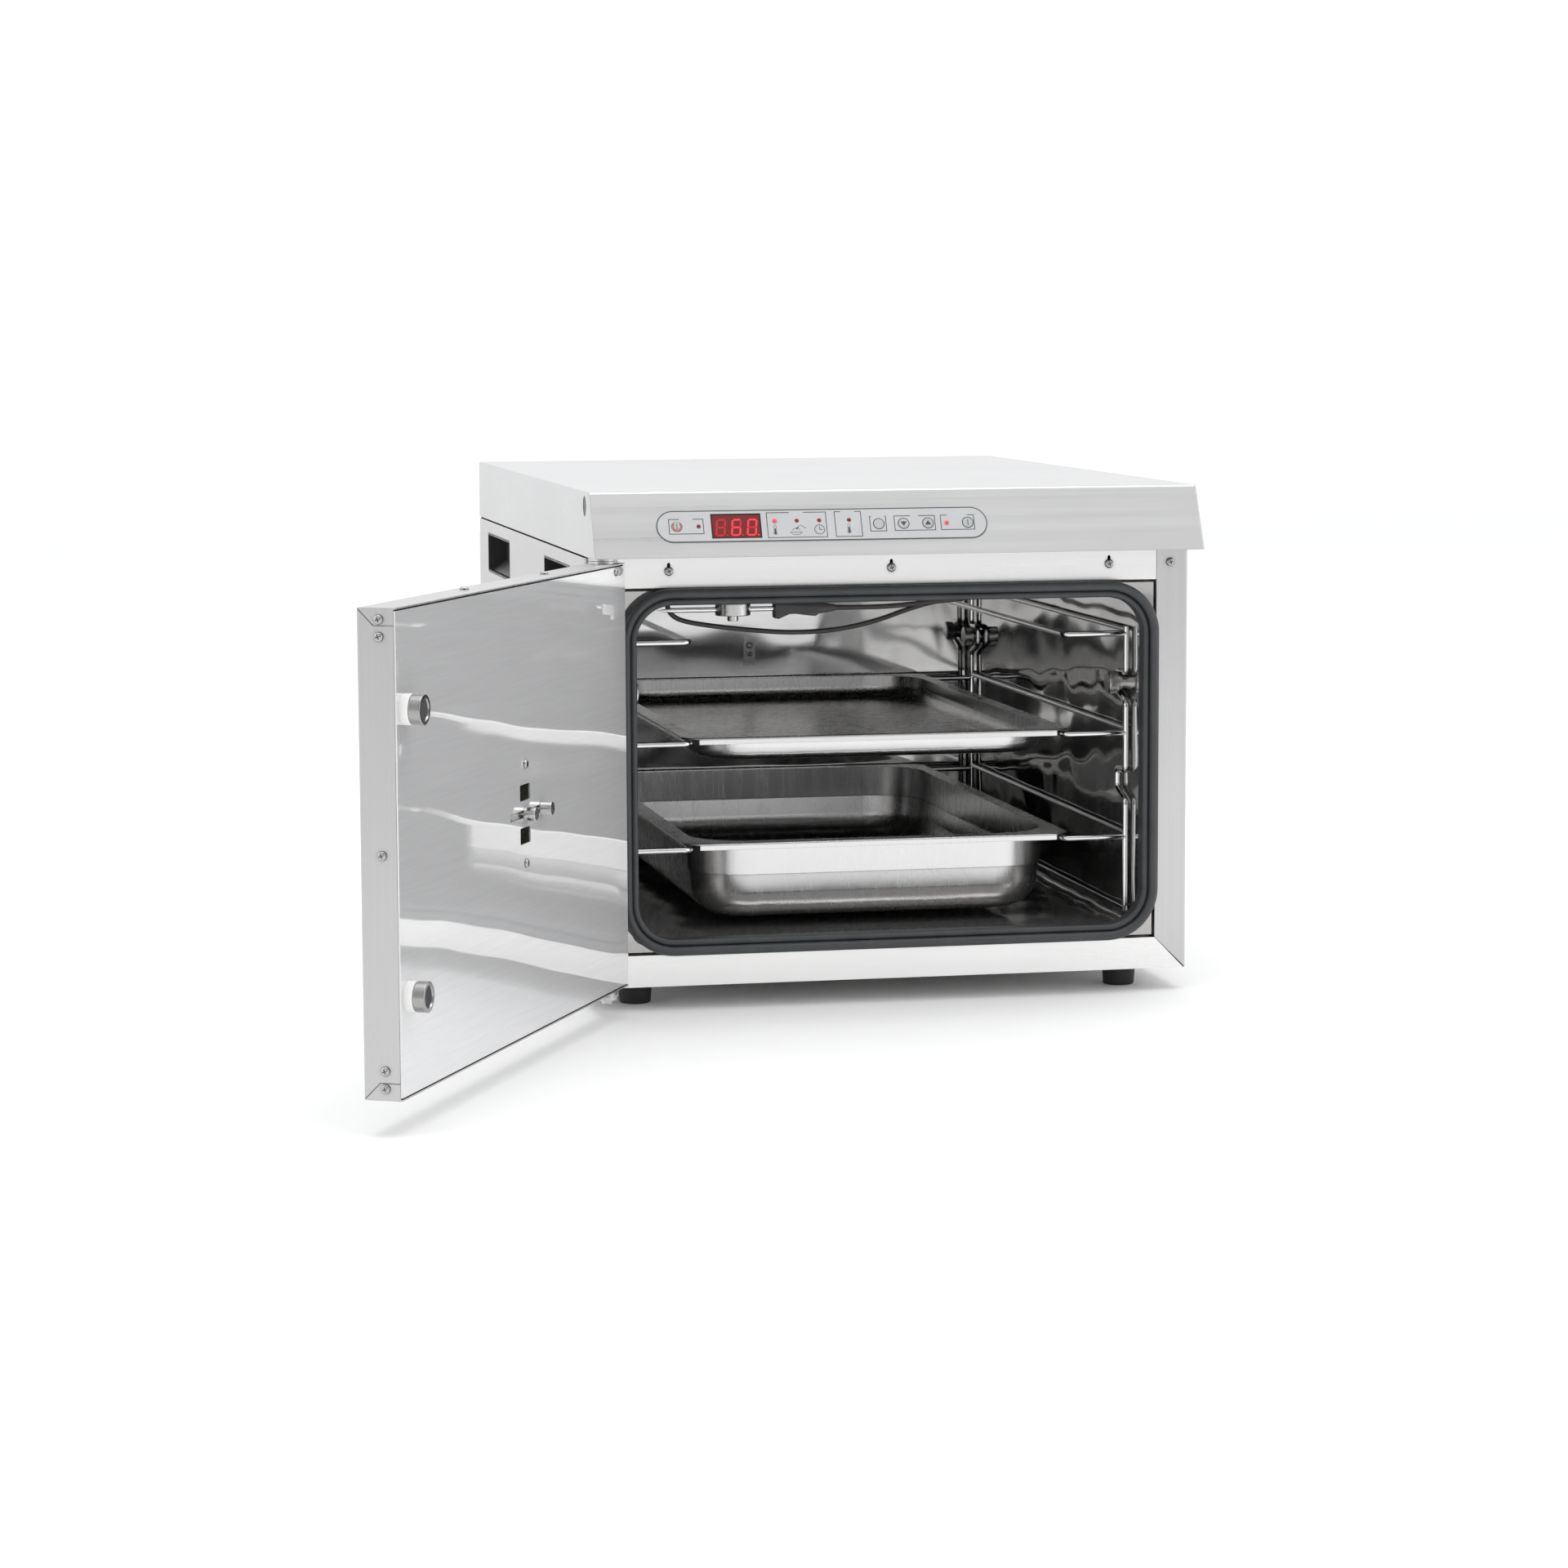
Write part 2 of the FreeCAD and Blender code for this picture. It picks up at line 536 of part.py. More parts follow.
def grip_cup(front, side):
    """A black moulded cup in the side panel that the fingers go into to lift the oven."""
    x0 = -HALF_WIDTH
    low, high = (front + GAP, GRIP_BOTTOM + GAP), (front + GRIP_LENGTH - GAP, GRIP_TOP - GAP)
    outer = rounded_block((x0, low[0], low[1]), (x0 + GRIP_DEPTH, high[0], high[1]), GRIP_CORNER - GAP, X)
    wall = GRIP_WALL
    hollow = rounded_block((x0 - 1, low[0] + wall, low[1] + wall),
                           (x0 + GRIP_DEPTH - wall, high[0] - wall, high[1] - wall), 2.0, X)
    ramp = prism([(x0 + GRIP_RAMP[0], low[0] + wall - 0.5, low[1] + wall - 0.5),
                  (x0 + GRIP_DEPTH - wall + 0.5, low[0] + wall - 0.5, low[1] + wall - 0.5),
                  (x0 + GRIP_DEPTH - wall + 0.5, low[0] + wall - 0.5, low[1] + GRIP_RAMP[1])],
                 (0, GRIP_LENGTH - 2 * wall - 2 * GAP + 1, 0))
    cup = fuse([outer.cut(hollow), ramp])
    return cup if side < 0 else mirrored(cup)


def cabinet_screws():
    """The pan-head screws of the front frame, and those that hold the back panel."""
    screws = [pan_head((x, -CLEAR, z), BACKWARD, *FRAME_SCREW) for x, z in STRIP_SCREWS]
    screws += [pan_head((s * POST_SCREW[0], -CLEAR, POST_SCREW[1]), BACKWARD, *CASING_SCREW) for s in (-1, 1)]
    screws += [pan_head((x, REAR + CLEAR, z), Y, *CASING_SCREW) for x, z in REAR_SCREWS]
    return group(screws)


# ---------------------------------------------------------------- cavity
def cavity_section(half, floor, ceiling, y0, y1, corner):
    return rounded_block((-half, y0, floor), (half, y1, ceiling), corner, Y)


def cavity_shell():
    """The polished muffle: one wrapped sheet, with the flange that carries the gasket."""
    outer = cavity_section(CAVITY_HALF_WIDTH + LINER, CAVITY_FLOOR - LINER, CAVITY_CEILING + LINER,
                           CAVITY_FRONT, CAVITY_BACK, CAVITY_CORNER + LINER)
    half, bottom, top = CAVITY_FLANGE
    flange = block((-half, CAVITY_FRONT, bottom), (half, CAVITY_FRONT + SHEET, top))
    inner = cavity_section(CAVITY_HALF_WIDTH, CAVITY_FLOOR, CAVITY_CEILING,
                           CAVITY_FRONT - 5, CAVITY_BACK + 5, CAVITY_CORNER)
    holes = [rod((CABLE_ROUTE[0][0], CABLE_ROUTE[0][1], CAVITY_CEILING - 3), Z, GLAND_BARREL[0] + 0.1, 8),
             rod((HOLDER_X, PROBE_Y, CAVITY_CEILING - 3), Z, HOLDER_STUD + 0.1, 8)]
    return cut(fuse([outer, flange]), [inner] + holes)


def cavity_back_wall():
    """The muffle's rear sheet, dished by a shallow step all round."""
    def inside(play, y0, y1):
        return cavity_section(CAVITY_HALF_WIDTH - play, CAVITY_FLOOR + play, CAVITY_CEILING - play,
                              y0, y1, CAVITY_CORNER - play)
    sheet = inside(BACK_WALL_PLAY, CAVITY_BACK - BACK_WALL_STEP, CAVITY_BACK - LINER)
    hollow = inside(BACK_WALL_PLAY + LINER, CAVITY_BACK - BACK_WALL_STEP + LINER, CAVITY_BACK + 1)
    hole = rod((SENSOR_X, CAVITY_BACK - BACK_WALL_STEP - 4, SENSOR_Z), Y, SENSOR_RADIUS + 0.2, 10)
    return cut(sheet, [hollow, hole])


def gasket_profile(x, z, outward):
    """The section at one place on the gasket: two round-topped lobes, the outer one higher."""
    def at(across, depth):
        return FreeCAD.Vector(x + outward[0] * across, CAVITY_FRONT - FIT - depth, z + outward[1] * across)
    width, split = GASKET_WIDTH, GASKET_WIDTH * GASKET_SPLIT
    inner_radius, outer_radius = split / 2, (width - split) / 2
    inner_side, outer_side = GASKET_LOBES[0] - inner_radius, GASKET_LOBES[1] - outer_radius
    edges = [
        Part.LineSegment(at(0, 0), at(0, inner_side)).toShape(),
        Part.Arc(at(0, inner_side), at(inner_radius, GASKET_LOBES[0]), at(split, inner_side)).toShape(),
        Part.LineSegment(at(split, inner_side), at(split, outer_side)).toShape(),
        Part.Arc(at(split, outer_side), at(split + outer_radius, GASKET_LOBES[1]),
                 at(width, outer_side)).toShape(),
        Part.LineSegment(at(width, outer_side), at(width, 0)).toShape(),
        Part.LineSegment(at(width, 0), at(0, 0)).toShape(),
    ]
    return Part.Face(Part.Wire(edges))


def door_gasket():
    """The grey silicone profile round the cavity's mouth, straight runs and turned corners."""
    half, bottom, top = GASKET_OUTER
    inner = half - GASKET_WIDTH
    low, high = bottom + GASKET_WIDTH, top - GASKET_WIDTH
    bend_radius = GASKET_CORNER - GASKET_WIDTH
    pieces = []
    for side in (-1, 1):
        leg = gasket_profile(side * inner, low + bend_radius, (side, 0))
        pieces.append(leg.extrude(FreeCAD.Vector(0, 0, high - low - 2 * bend_radius)))
    for z, outward in ((low, -1), (high, 1)):
        run = gasket_profile(-inner + bend_radius, z, (0, outward))
        pieces.append(run.extrude(FreeCAD.Vector(2 * (inner - bend_radius), 0, 0)))
    for side in (-1, 1):
        for z, up in ((low + bend_radius, -1), (high - bend_radius, 1)):
            profile = gasket_profile(side * inner, z, (side, 0))
            centre = FreeCAD.Vector(side * (inner - bend_radius), 0, z)
            pieces.append(profile.revolve(centre, FreeCAD.Vector(*Y), -90 * side * up))
    return fuse(pieces)


def rack_right():
    """The wire rack on one wall: two uprights hooked round the studs, and a loop and a bar at each
    level. Each wire is a solid of its own, welded where it meets the next."""
    posts = [rack_post(RACK_FRONT, 1), rack_post(RACK_END, -1)]
    bars = [rod((RACK_POST_X, RACK_FRONT, z), Y, BAR_RADIUS, RACK_END - RACK_FRONT)
            for z in [level + BAR_ABOVE_LOOP for level in RACK_LEVELS] + [BOTTOM_BAR_Z]]
    loops = [tube([(RACK_POST_X, RACK_FRONT, level), (RACK_RAIL_X, RACK_FRONT, level),
                   (RACK_RAIL_X, RACK_END, level), (RACK_POST_X, RACK_END, level)],
                  ROD_RADIUS, bend(RACK_BEND))[0] for level in RACK_LEVELS]
    wires = [cut(bar, posts) for bar in bars] + [cut(loop, posts + bars) for loop in loops]
    return group(posts + [solid for wire in wires for solid in wire.Solids])


def rack_post(y, towards):
    """An upright with a hook bent out of it, towards the rack's middle, at each hook height."""
    x, far = RACK_POST_X, y + towards * HOOK_DEPTH
    points = [(x, y, BOTTOM_BAR_Z - POST_PAST_BAR)]
    for height in HOOK_HEIGHTS:
        points += [(x, y, height - HOOK_START), (x, far, height - HOOK_END),
                   (x, far, height + HOOK_RISE), (x, y, height + HOOK_RISE)]
    points.append((x, y, RACK_LEVELS[-1] + BAR_ABOVE_LOOP + POST_PAST_BAR + 1))
    return tube(points, ROD_RADIUS, bend(HOOK_BEND))[0]


def rack_studs():
    """Four spools on the cavity walls that the racks' upper hooks hang on."""
    wall, height = CAVITY_HALF_WIDTH - FIT, HOOK_HEIGHTS[-1]
    studs = []
    for y in (RACK_FRONT + STUD_OFFSET, RACK_END - STUD_OFFSET):
        neck = rod((wall, y, height), LEFTWARD, STUD_NECK, STUD_NECK_LENGTH)
        head = rod((STUD_HEAD_X, y, height), LEFTWARD, STUD_HEAD, STUD_HEAD_LENGTH)
        studs.append(fuse([head.makeFillet(STUD_EDGE, circles(head)), neck]))
    return group(studs + [mirrored(s) for s in studs])


def sensor_guard():
    """A small folded bracket on the back wall with a screw, over the cavity sensor."""
    y = CAVITY_BACK - BACK_WALL_STEP - FIT
    left, right, bottom = SENSOR_X - GUARD_HALF_WIDTH, SENSOR_X + GUARD_HALF_WIDTH, SENSOR_Z - GUARD_BELOW
    plate = rounded_block((left, y - GUARD_SHEET, bottom), (right, y, SENSOR_Z + GUARD_ABOVE), 1.5, Y)
    bridge = block((left, y - GUARD_RISE, bottom), (right, y, bottom + GUARD_SHEET))
    hole = rod((SENSOR_X, y - GUARD_RISE - 3, SENSOR_Z), Y, SENSOR_RADIUS + 0.2, 12)
    screw = pan_head((SENSOR_X, y - GUARD_SHEET, SENSOR_Z + GUARD_SCREW_Z), BACKWARD, 3.0, 2.0, 0.9)
    return fuse([cut(fuse([plate, bridge]), [hole]), screw])


def cavity_sensor():
    """The temperature sensor's tube, through the back wall into the insulation."""
    front = (SENSOR_X, CAVITY_BACK - SENSOR_REACH, SENSOR_Z)
    tip = Part.makeSphere(SENSOR_RADIUS, FreeCAD.Vector(*front))
    return fuse([rod(front, Y, SENSOR_RADIUS, SENSOR_LENGTH), tip])


def heating_mat():
    """A heating foil wrapped under and up both sides of the muffle."""
    def wrap(grow, past):
        return cavity_section(CAVITY_HALF_WIDTH + LINER + grow, CAVITY_FLOOR - LINER - grow,
                              CAVITY_CEILING + LINER + grow, MAT_FRONT - past, MAT_BACK + past,
                              CAVITY_CORNER + LINER + grow)
    wrapped = wrap(MAT_CLEAR + MAT_THICK, 0).cut(wrap(MAT_CLEAR, 5))
    return wrapped.cut(block((-WIDTH, 0, MAT_TOP), (WIDTH, REAR, HEIGHT)))


def insulation_wrap():
    """Mineral wool all round the muffle, outside the heating foil."""
    outer = block(WOOL_LOW, WOOL_HIGH)
    grow = LINER + MAT_CLEAR + MAT_THICK + WOOL_CLEAR
    inner = cavity_section(CAVITY_HALF_WIDTH + grow, CAVITY_FLOOR - grow,
                           CAVITY_CEILING + LINER + WOOL_CLEAR, 0, REAR + PAST, CAVITY_CORNER + grow)
    under = CAVITY_CEILING - 8
    holes = [rod((CABLE_ROUTE[0][0], CABLE_ROUTE[0][1], under), Z, LOCK_NUT[0] + 1, 40),
             rod((HOLDER_X, PROBE_Y, under), Z, 6.5, 40)]
    return cut(outer, [inner] + holes)


def insulation_back():
    """Mineral wool behind the muffle."""
    slab = block(WOOL_BACK_LOW, WOOL_BACK_HIGH)
    return cut(slab, [rod((SENSOR_X, CAVITY_BACK - 5, SENSOR_Z), Y, SENSOR_RADIUS + 0.4, 20)])


# ---------------------------------------------------------------- controls and electronics
def control_foil():
    """The printed capsule-shaped foil on the fascia, pierced for keys, lamps and display."""
    r = FOIL_HALF_HEIGHT
    s = FOIL_HEIGHT_ON_FASCIA
    body = rounded_block((FOIL_LEFT, s - r, CLEAR), (FOIL_RIGHT, s + r, FOIL), r - 0.01, Z)
    holes = [rod((x, s, -2), Z, KEY_RADIUS + 0.3, 4) for x in KEYS.values()]
    holes += [rod((x, s + up, -2), Z, LED_RADIUS + 0.1, 4) for x, up in LEDS]
    left, right, low, high = DISPLAY
    holes.append(block((left, s + low, -2), (right, s + high, 4)))
    return on_fascia(cut(body, holes))


def display_window():
    """The red window, flush with the foil, stepped down into the fascia's opening."""
    left, right, low, high = DISPLAY
    s = FOIL_HEIGHT_ON_FASCIA
    step = WINDOW_STEP
    face = block((left + 0.1, s + low + 0.1, CLEAR), (right - 0.1, s + high - 0.1, FOIL))
    body = block((left + step, s + low + step, -WINDOW_DEPTH), (right - step, s + high - step, 0.1))
    return on_fascia(fuse([face, body]))


def display_module():
    """The three-digit display's block, on the control board behind its window."""
    left, right, low, high = DISPLAY
    s = FOIL_HEIGHT_ON_FASCIA
    return on_fascia(block((left + 1, s + low + 1, DIGITS_BACK), (right - 1, s + high - 1, DIGITS_FRONT)))


def indicator_leds():
    """Six domed lamps on the control board, seen through the foil."""
    s = FOIL_HEIGHT_ON_FASCIA
    lamps = []
    for x, up in LEDS:
        lamp = rod((x, s + up, DIGITS_BACK), Z, LED_RADIUS, LED_TIP - DIGITS_BACK)
        rim = [e for e in circles(lamp) if e.CenterOfMass.z > 0]
        lamps.append(on_fascia(lamp.makeFillet(0.5, rim[:1])))
    return group(lamps)


def control_board():
    """The circuit board behind the fascia, with a switch under each key and four posts."""
    s = FOIL_HEIGHT_ON_FASCIA
    board = block((FOIL_LEFT + 4, s - BOARD_BELOW, BOARD_BACK),
                  (FOIL_RIGHT - 2, s + BOARD_ABOVE, BOARD_FRONT))
    low, half = BOARD_FRONT - 0.1, SWITCH_HALF
    switches = [block((x - half, s - half, low), (x + half, s + half, SWITCH_TOP)) for x in KEYS.values()]
    posts = [rod((x, up, low), Z, *BOARD_POST)
             for x in (FOIL_LEFT + 8, FOIL_RIGHT - 8) for up in (s - 13, s + 14)]
    return on_fascia(fuse([board] + switches + posts))


def key(x):
    """A round key, proud of the foil, with a collar behind the fascia that keeps it in."""
    s = FOIL_HEIGHT_ON_FASCIA
    cap = rod((x, s, KEY_BACK), Z, KEY_RADIUS, FOIL + KEY_PROUD - KEY_BACK)
    rim = [e for e in circles(cap) if e.CenterOfMass.z > 0]
    cap = cap.makeFillet(0.25, rim[:1])
    wider, place, thick = KEY_COLLAR
    collar = rod((x, s, place), Z, KEY_RADIUS + wider, thick)
    return on_fascia(fuse([cap, collar]))


def power_unit():
    """The power board with its transformer, relay and heat sink, on feet above the insulation."""
    board = block((40, 330, 356), (190, 500, 357.6))
    parts = [block((55, 345, 357.5), (105, 395, 395)), block((115, 350, 357.5), (140, 380, 380)),
             block((150, 350, 357.5), (175, 380, 376)), block((60, 420, 357.5), (175, 428, 390)),
             block((120, 450, 357.5), (180, 470, 370))]
    feet = [rod((x, y, 346.3), Z, 3, 10) for x in (48, 182) for y in (338, 492)]
    fins = [block((62 + 8 * i, 427.9, 357.5), (64 + 8 * i, 440, 390)) for i in range(14)]
    return fuse([board] + parts + feet + fins)


def safety_thermostat():
    """The over-temperature cut-out, a capillary switch on a bracket above the insulation."""
    body = rod((-90, 300, 346.3), Z, 12, 16)
    tabs = [block((-100 + 14 * i, 296, 362), (-94 + 14 * i, 304, 371)) for i in range(2)]
    plate = block((-110, 286, 346.3), (-70, 314, 347.8))
    return fuse([body, plate] + tabs)


def mains_inlet():
    """A three-pin appliance inlet with its flange on the back panel and its socket facing out."""
    x, z = INLET
    wide, high, thick, corner = INLET_FLANGE
    flange = rounded_block((x - wide, REAR + CLEAR, z - high), (x + wide, REAR + thick, z + high), corner, Y)
    wide, high, deep = INLET_BODY
    body = block((x - wide, REAR - deep, z - high), (x + wide, REAR + thick, z + high))
    wide, high, top_wide, shoulder, deep = INLET_WELL
    y = REAR - deep
    well = [(x - wide, y, z - high), (x + wide, y, z - high), (x + wide, y, z + shoulder),
            (x + top_wide, y, z + high), (x - top_wide, y, z + high), (x - wide, y, z + shoulder)]
    socket = prism(well, (0, deep + 5, 0))
    half, tall, short = INLET_PIN
    pins = [block((x + dx - half, y - 0.5, z + dz - tall), (x + dx + half, REAR - short, z + dz + tall))
            for dx, dz in INLET_PINS]
    heads = [pan_head((x + s * INLET_SCREW_X, REAR + thick, z), Y, 2.8, 1.6, 1.0) for s in (-1, 1)]
    return fuse([cut(fuse([flange, body]), [socket])] + pins + heads)


def wiring_harness():
    """The bundle from the inlet past the power unit to the control board, clipped inside."""
    x, z = INLET
    points = [(x, REAR - 24.5, z), (x, REAR - 60, z), (110, 545, 364), (15, 505, 352),
              (15, 320, 352), (-20, 200, 352), (-20, 80, 360), (-20, 10, 375), (-20, -21.3, 384)]
    return tube(points, 3.0, bend(16.0))[0]


# ---------------------------------------------------------------- hinges
def hinge_disc_fixed():
    """The steel washer under the hood that the door's own disc runs against."""
    return ring((HINGE_X, HINGE_Y, FIXED_DISC_Z), Z, DISC_RADIUS, PIN_RADIUS + CLEAR, DISC_THICK)


def hinge_pin_top():
    """The top hinge pin, hung from inside the hood, with its head above the sheet."""
    shank = rod((HINGE_X, HINGE_Y, PIN_BOTTOM), Z, PIN_RADIUS, PIN_LENGTH)
    head = rod((HINGE_X, HINGE_Y, COVER_BOTTOM + SHEET + FIT), Z, *PIN_HEAD)
    return fuse([shank, head])


def hinge_bracket_bottom():
    """The flat arm under the base that carries the door's lower pin."""
    half = ARM_HALF_WIDTH
    nose = rod((HINGE_X, HINGE_Y, ARM_BOTTOM), Z, half, ARM_TOP - ARM_BOTTOM)
    arm = block((HINGE_X - half, HINGE_Y, ARM_BOTTOM), (HINGE_X + half, ARM_BACK, ARM_TOP))
    hole = rod((HINGE_X, HINGE_Y, 0), Z, PIN_RADIUS + CLEAR, 40)
    rear = [e for e in edges_along(arm, Z) if e.CenterOfMass.y > ARM_BACK - 1]
    screws = [pan_head((HINGE_X, y, ARM_BOTTOM), DOWN, *CASING_SCREW, 0.5) for y in ARM_SCREWS_Y]
    return fuse([cut(fuse([nose, arm.makeFillet(4, rear)]), [hole])] + screws)


def hinge_pin_bottom():
    """The slotted pin screwed up through the arm into the door's lower bush."""
    head = rod((HINGE_X, HINGE_Y, ARM_BOTTOM - FIT), DOWN, *LOWER_HEAD)
    rim = [e for e in circles(head) if e.CenterOfMass.z < ARM_BOTTOM - 2]
    head = head.makeFillet(0.8, rim[:1])
    half, low, high = LOWER_SLOT
    slot = block((HINGE_X - 6, HINGE_Y - half, low), (HINGE_X + 6, HINGE_Y + half, high))
    shank = rod((HINGE_X, HINGE_Y, ARM_BOTTOM - 0.1), Z, PIN_RADIUS, PIN_LENGTH)
    return fuse([head.cut(slot), shank])


def hinge_washers():
    """Two washers that carry the door's weight on the lower arm."""
    return group([ring((HINGE_X, HINGE_Y, ARM_TOP + up), Z, radius, PIN_RADIUS + FIT, thick)
                  for radius, up, thick in WASHERS])


# ---------------------------------------------------------------- probe
def probe_holder():
    """A steel disc bolted under the cavity roof, cross-bored for the probe's needle."""
    disc = rod((HOLDER_X, PROBE_Y, HOLDER_BOTTOM), Z, *HOLDER_DISC)
    disc = disc.makeFillet(1.0, circles(disc))
    bore = rod((HOLDER_X - PAST, PROBE_Y, PROBE_Z), X, HOLDER_BORE, 2 * PAST)
    base = HOLDER_BOTTOM + HOLDER_DISC[1] - 0.2
    spacer = rod((HOLDER_X, PROBE_Y, base), Z, HOLDER_SPACER, CAVITY_CEILING - base - FIT)
    stud = rod((HOLDER_X, PROBE_Y, CAVITY_CEILING - 1), Z, HOLDER_STUD, 8)
    nut = rod((HOLDER_X, PROBE_Y, CAVITY_CEILING + LINER + FIT), Z, 2 * HOLDER_STUD, 4)
    radius, drop = HOLDER_TAIL
    tail = rod((HOLDER_X, PROBE_Y, HOLDER_BOTTOM - drop), Z, radius, drop + 0.4)
    tip = [e for e in circles(tail) if e.CenterOfMass.z < HOLDER_BOTTOM - drop + 0.1]
    return cut(fuse([disc, spacer, stud, nut, tail.makeFillet(0.6, tip[:1])]), [bore])


def probe_gland():
    """The cable's gland through the cavity roof."""
    x, y, z = CABLE_ROUTE[0]
    barrel = rod((x, y, z), Z, *GLAND_BARREL)
    collar = cone((x, y, z), Z, *GLAND_COLLAR, CAVITY_CEILING - z - FIT)
    lock = rod((x, y, CAVITY_CEILING + LINER + FIT), Z, *LOCK_NUT)
    return fuse([barrel, collar, lock])


def probe_needle():
    """The pointed steel needle of the core probe, pushed through the holder."""
    shank = NEEDLE_TIP + NEEDLE_TAPER
    return fuse([cone((NEEDLE_TIP, PROBE_Y, PROBE_Z), X, 0.3, NEEDLE_RADIUS, NEEDLE_TAPER),
                 rod((shank, PROBE_Y, PROBE_Z), X, NEEDLE_RADIUS, HANDLE_LEFT - shank + 12)])


def probe_handle():
    """The moulded grip: a finger guard, a waist, a swell, and the tapered strain relief."""
    y, z = PROBE_Y, PROBE_Z
    outline = [(HANDLE_LEFT, z + 5.2), (HANDLE_LEFT, z - 7.6), (HANDLE_LEFT + 3, z - 8.2),
               (HANDLE_LEFT + 6, z - 6.6), (HANDLE_LEFT + 11, z - 4.3), (HANDLE_LEFT + 16, z - 4.1),
               (HANDLE_LEFT + 28, z - 5.8), (HANDLE_LEFT + 33, z - 6.2), (HANDLE_LEFT + 35, z - 4.8),
               (HANDLE_RIGHT - 5, z - 3.4), (HANDLE_RIGHT, z - 2.6), (HANDLE_RIGHT, z + 2.6),
               (HANDLE_RIGHT - 5, z + 3.4), (HANDLE_LEFT + 34, z + 5.0)]
    slab = prism([(x, y - HANDLE_HALF, h) for x, h in outline], (0, 2 * HANDLE_HALF, 0))
    round_grip = cone((HANDLE_LEFT - 1, y, z - 1), X, 8.6, 7.8, 36)
    relief = cone((HANDLE_LEFT + 34, y, z), X, 6.2, 2.9, 16)
    grip = slab.common(round_grip.fuse(relief))
    return cut(grip, [rod((HANDLE_LEFT - 1, y, z), X, NEEDLE_RADIUS + FIT, 13.2)])


# ---------------------------------------------------------------- door, made closed and then opened
def door_outer_skin():
    """The door's folded tray: front face and four returns, with the corner laps on its free edge."""
    low = (-DOOR_HALF_WIDTH, DOOR_OUTER_Y, DOOR_BOTTOM)
    high = (DOOR_HALF_WIDTH, DOOR_INNER_Y, DOOR_TOP)
    solid = block(low, high)
    front = [e for e in solid.Edges if abs(e.CenterOfMass.y - DOOR_OUTER_Y) < 0.1]
    solid = solid.makeFillet(DOOR_BEND, front)
    inside = block([value + SHEET for value in low], (high[0] - SHEET, high[1] + 1, high[2] - SHEET))
    ends = [block((x, high[1] - SHEET - 0.1, low[2] + SHEET), (x + 2 * SHEET, high[1] + 1, high[2] - SHEET))
            for x in (low[0] - SHEET, high[0] - SHEET)]
    cuts = [inside] + ends
    for end in (DOOR_BOTTOM, DOOR_TOP):
        cuts.append(rod((HINGE_X, HINGE_Y, end - 4), Z, PIN_RADIUS + 0.5, 8))
        cuts += lap_seam(high[0], end)
    cuts += vent_openings(DOOR_OUTER_Y - 1, DOOR_OUTER_Y + 3)
    cuts.append(door_grip_block(-1, 6, 0))
    return opened(cut(solid, cuts))


def lap_seam(x, end):
    """The shallow seam round a corner lap: a diagonal from the corner, then level to the inner edge."""
    inward = 1 if end == DOOR_BOTTOM else -1
    drop, wide, deep = SEAM_DROP, SEAM_WIDTH, SEAM_DEPTH
    y0, y1 = DOOR_OUTER_Y, DOOR_OUTER_Y + drop
    z1 = end + inward * drop
    diagonal = prism([(x - deep, y0 - wide, end), (x - deep, y0 + wide, end),
                      (x - deep, y1 + wide, z1), (x - deep, y1 - wide, z1)], (2 * deep, 0, 0))
    level = block((x - deep, y1 - wide, z1 - wide / 2), (x + deep, DOOR_INNER_Y + 1, z1 + wide / 2))
    return [diagonal, level]


def vent_openings(y0, y1):
    """The two air windows and the slot that the shutter's studs run in, through a door sheet."""
    x, z = HINGE_X + VENT_ALONG, VENT_HEIGHT
    half_w, half_h = VENT_WINDOW[0] / 2, VENT_WINDOW[1] / 2
    cuts = [rounded_block((x - half_w, y0, z + s - half_h), (x + half_w, y1, z + s + half_h), 1.2, Y)
            for s in (-VENT_WINDOW_OFFSET, VENT_WINDOW_OFFSET)]
    centre = x + VENT_SLOT_OFFSET
    long, high = VENT_SLOT[0] / 2, VENT_SLOT[1] / 2
    cuts.append(rounded_block((centre - long, y0, z - high), (centre + long, y1, z + high), 0.8, Y))
    cuts += [rod((x, y0, z + s), Y, 1.6, y1 - y0) for s in (-VENT_SCREW_OFFSET, VENT_SCREW_OFFSET)]
    return cuts


def door_grip_block(front, depth, inset):
    """The block of the pull's cut-out, from in front of the door's face to a depth behind it."""
    a0, a1, z0, z1 = DOOR_GRIP
    return rounded_block((HINGE_X + a0 + inset, DOOR_OUTER_Y + front, z0 + inset),
                         (HINGE_X + a1 - inset, DOOR_OUTER_Y + depth, z1 - inset),
                         max(DOOR_GRIP_CORNER - inset, 1.5), Y)


def door_grip():
    """The black moulded pull let into the door's outer face."""
    outer = door_grip_block(0, DOOR_GRIP_DEPTH, GAP)
    hollow = door_grip_block(-1, DOOR_GRIP_DEPTH - DOOR_GRIP_WALL, GAP + DOOR_GRIP_WALL)
    return opened(outer.cut(hollow))


def door_inner_panel():
    """The polished inner sheet, with a dark gap to the returns above and below."""
    gap, half = SHEET + PANEL_SHADOW, DOOR_HALF_WIDTH - PANEL_PLAY
    panel = block((-half, DOOR_INNER_Y - SHEET, DOOR_BOTTOM + gap), (half, DOOR_INNER_Y, DOOR_TOP - gap))
    return opened(cut(panel, vent_openings(DOOR_INNER_Y - 4, DOOR_INNER_Y + 1)))


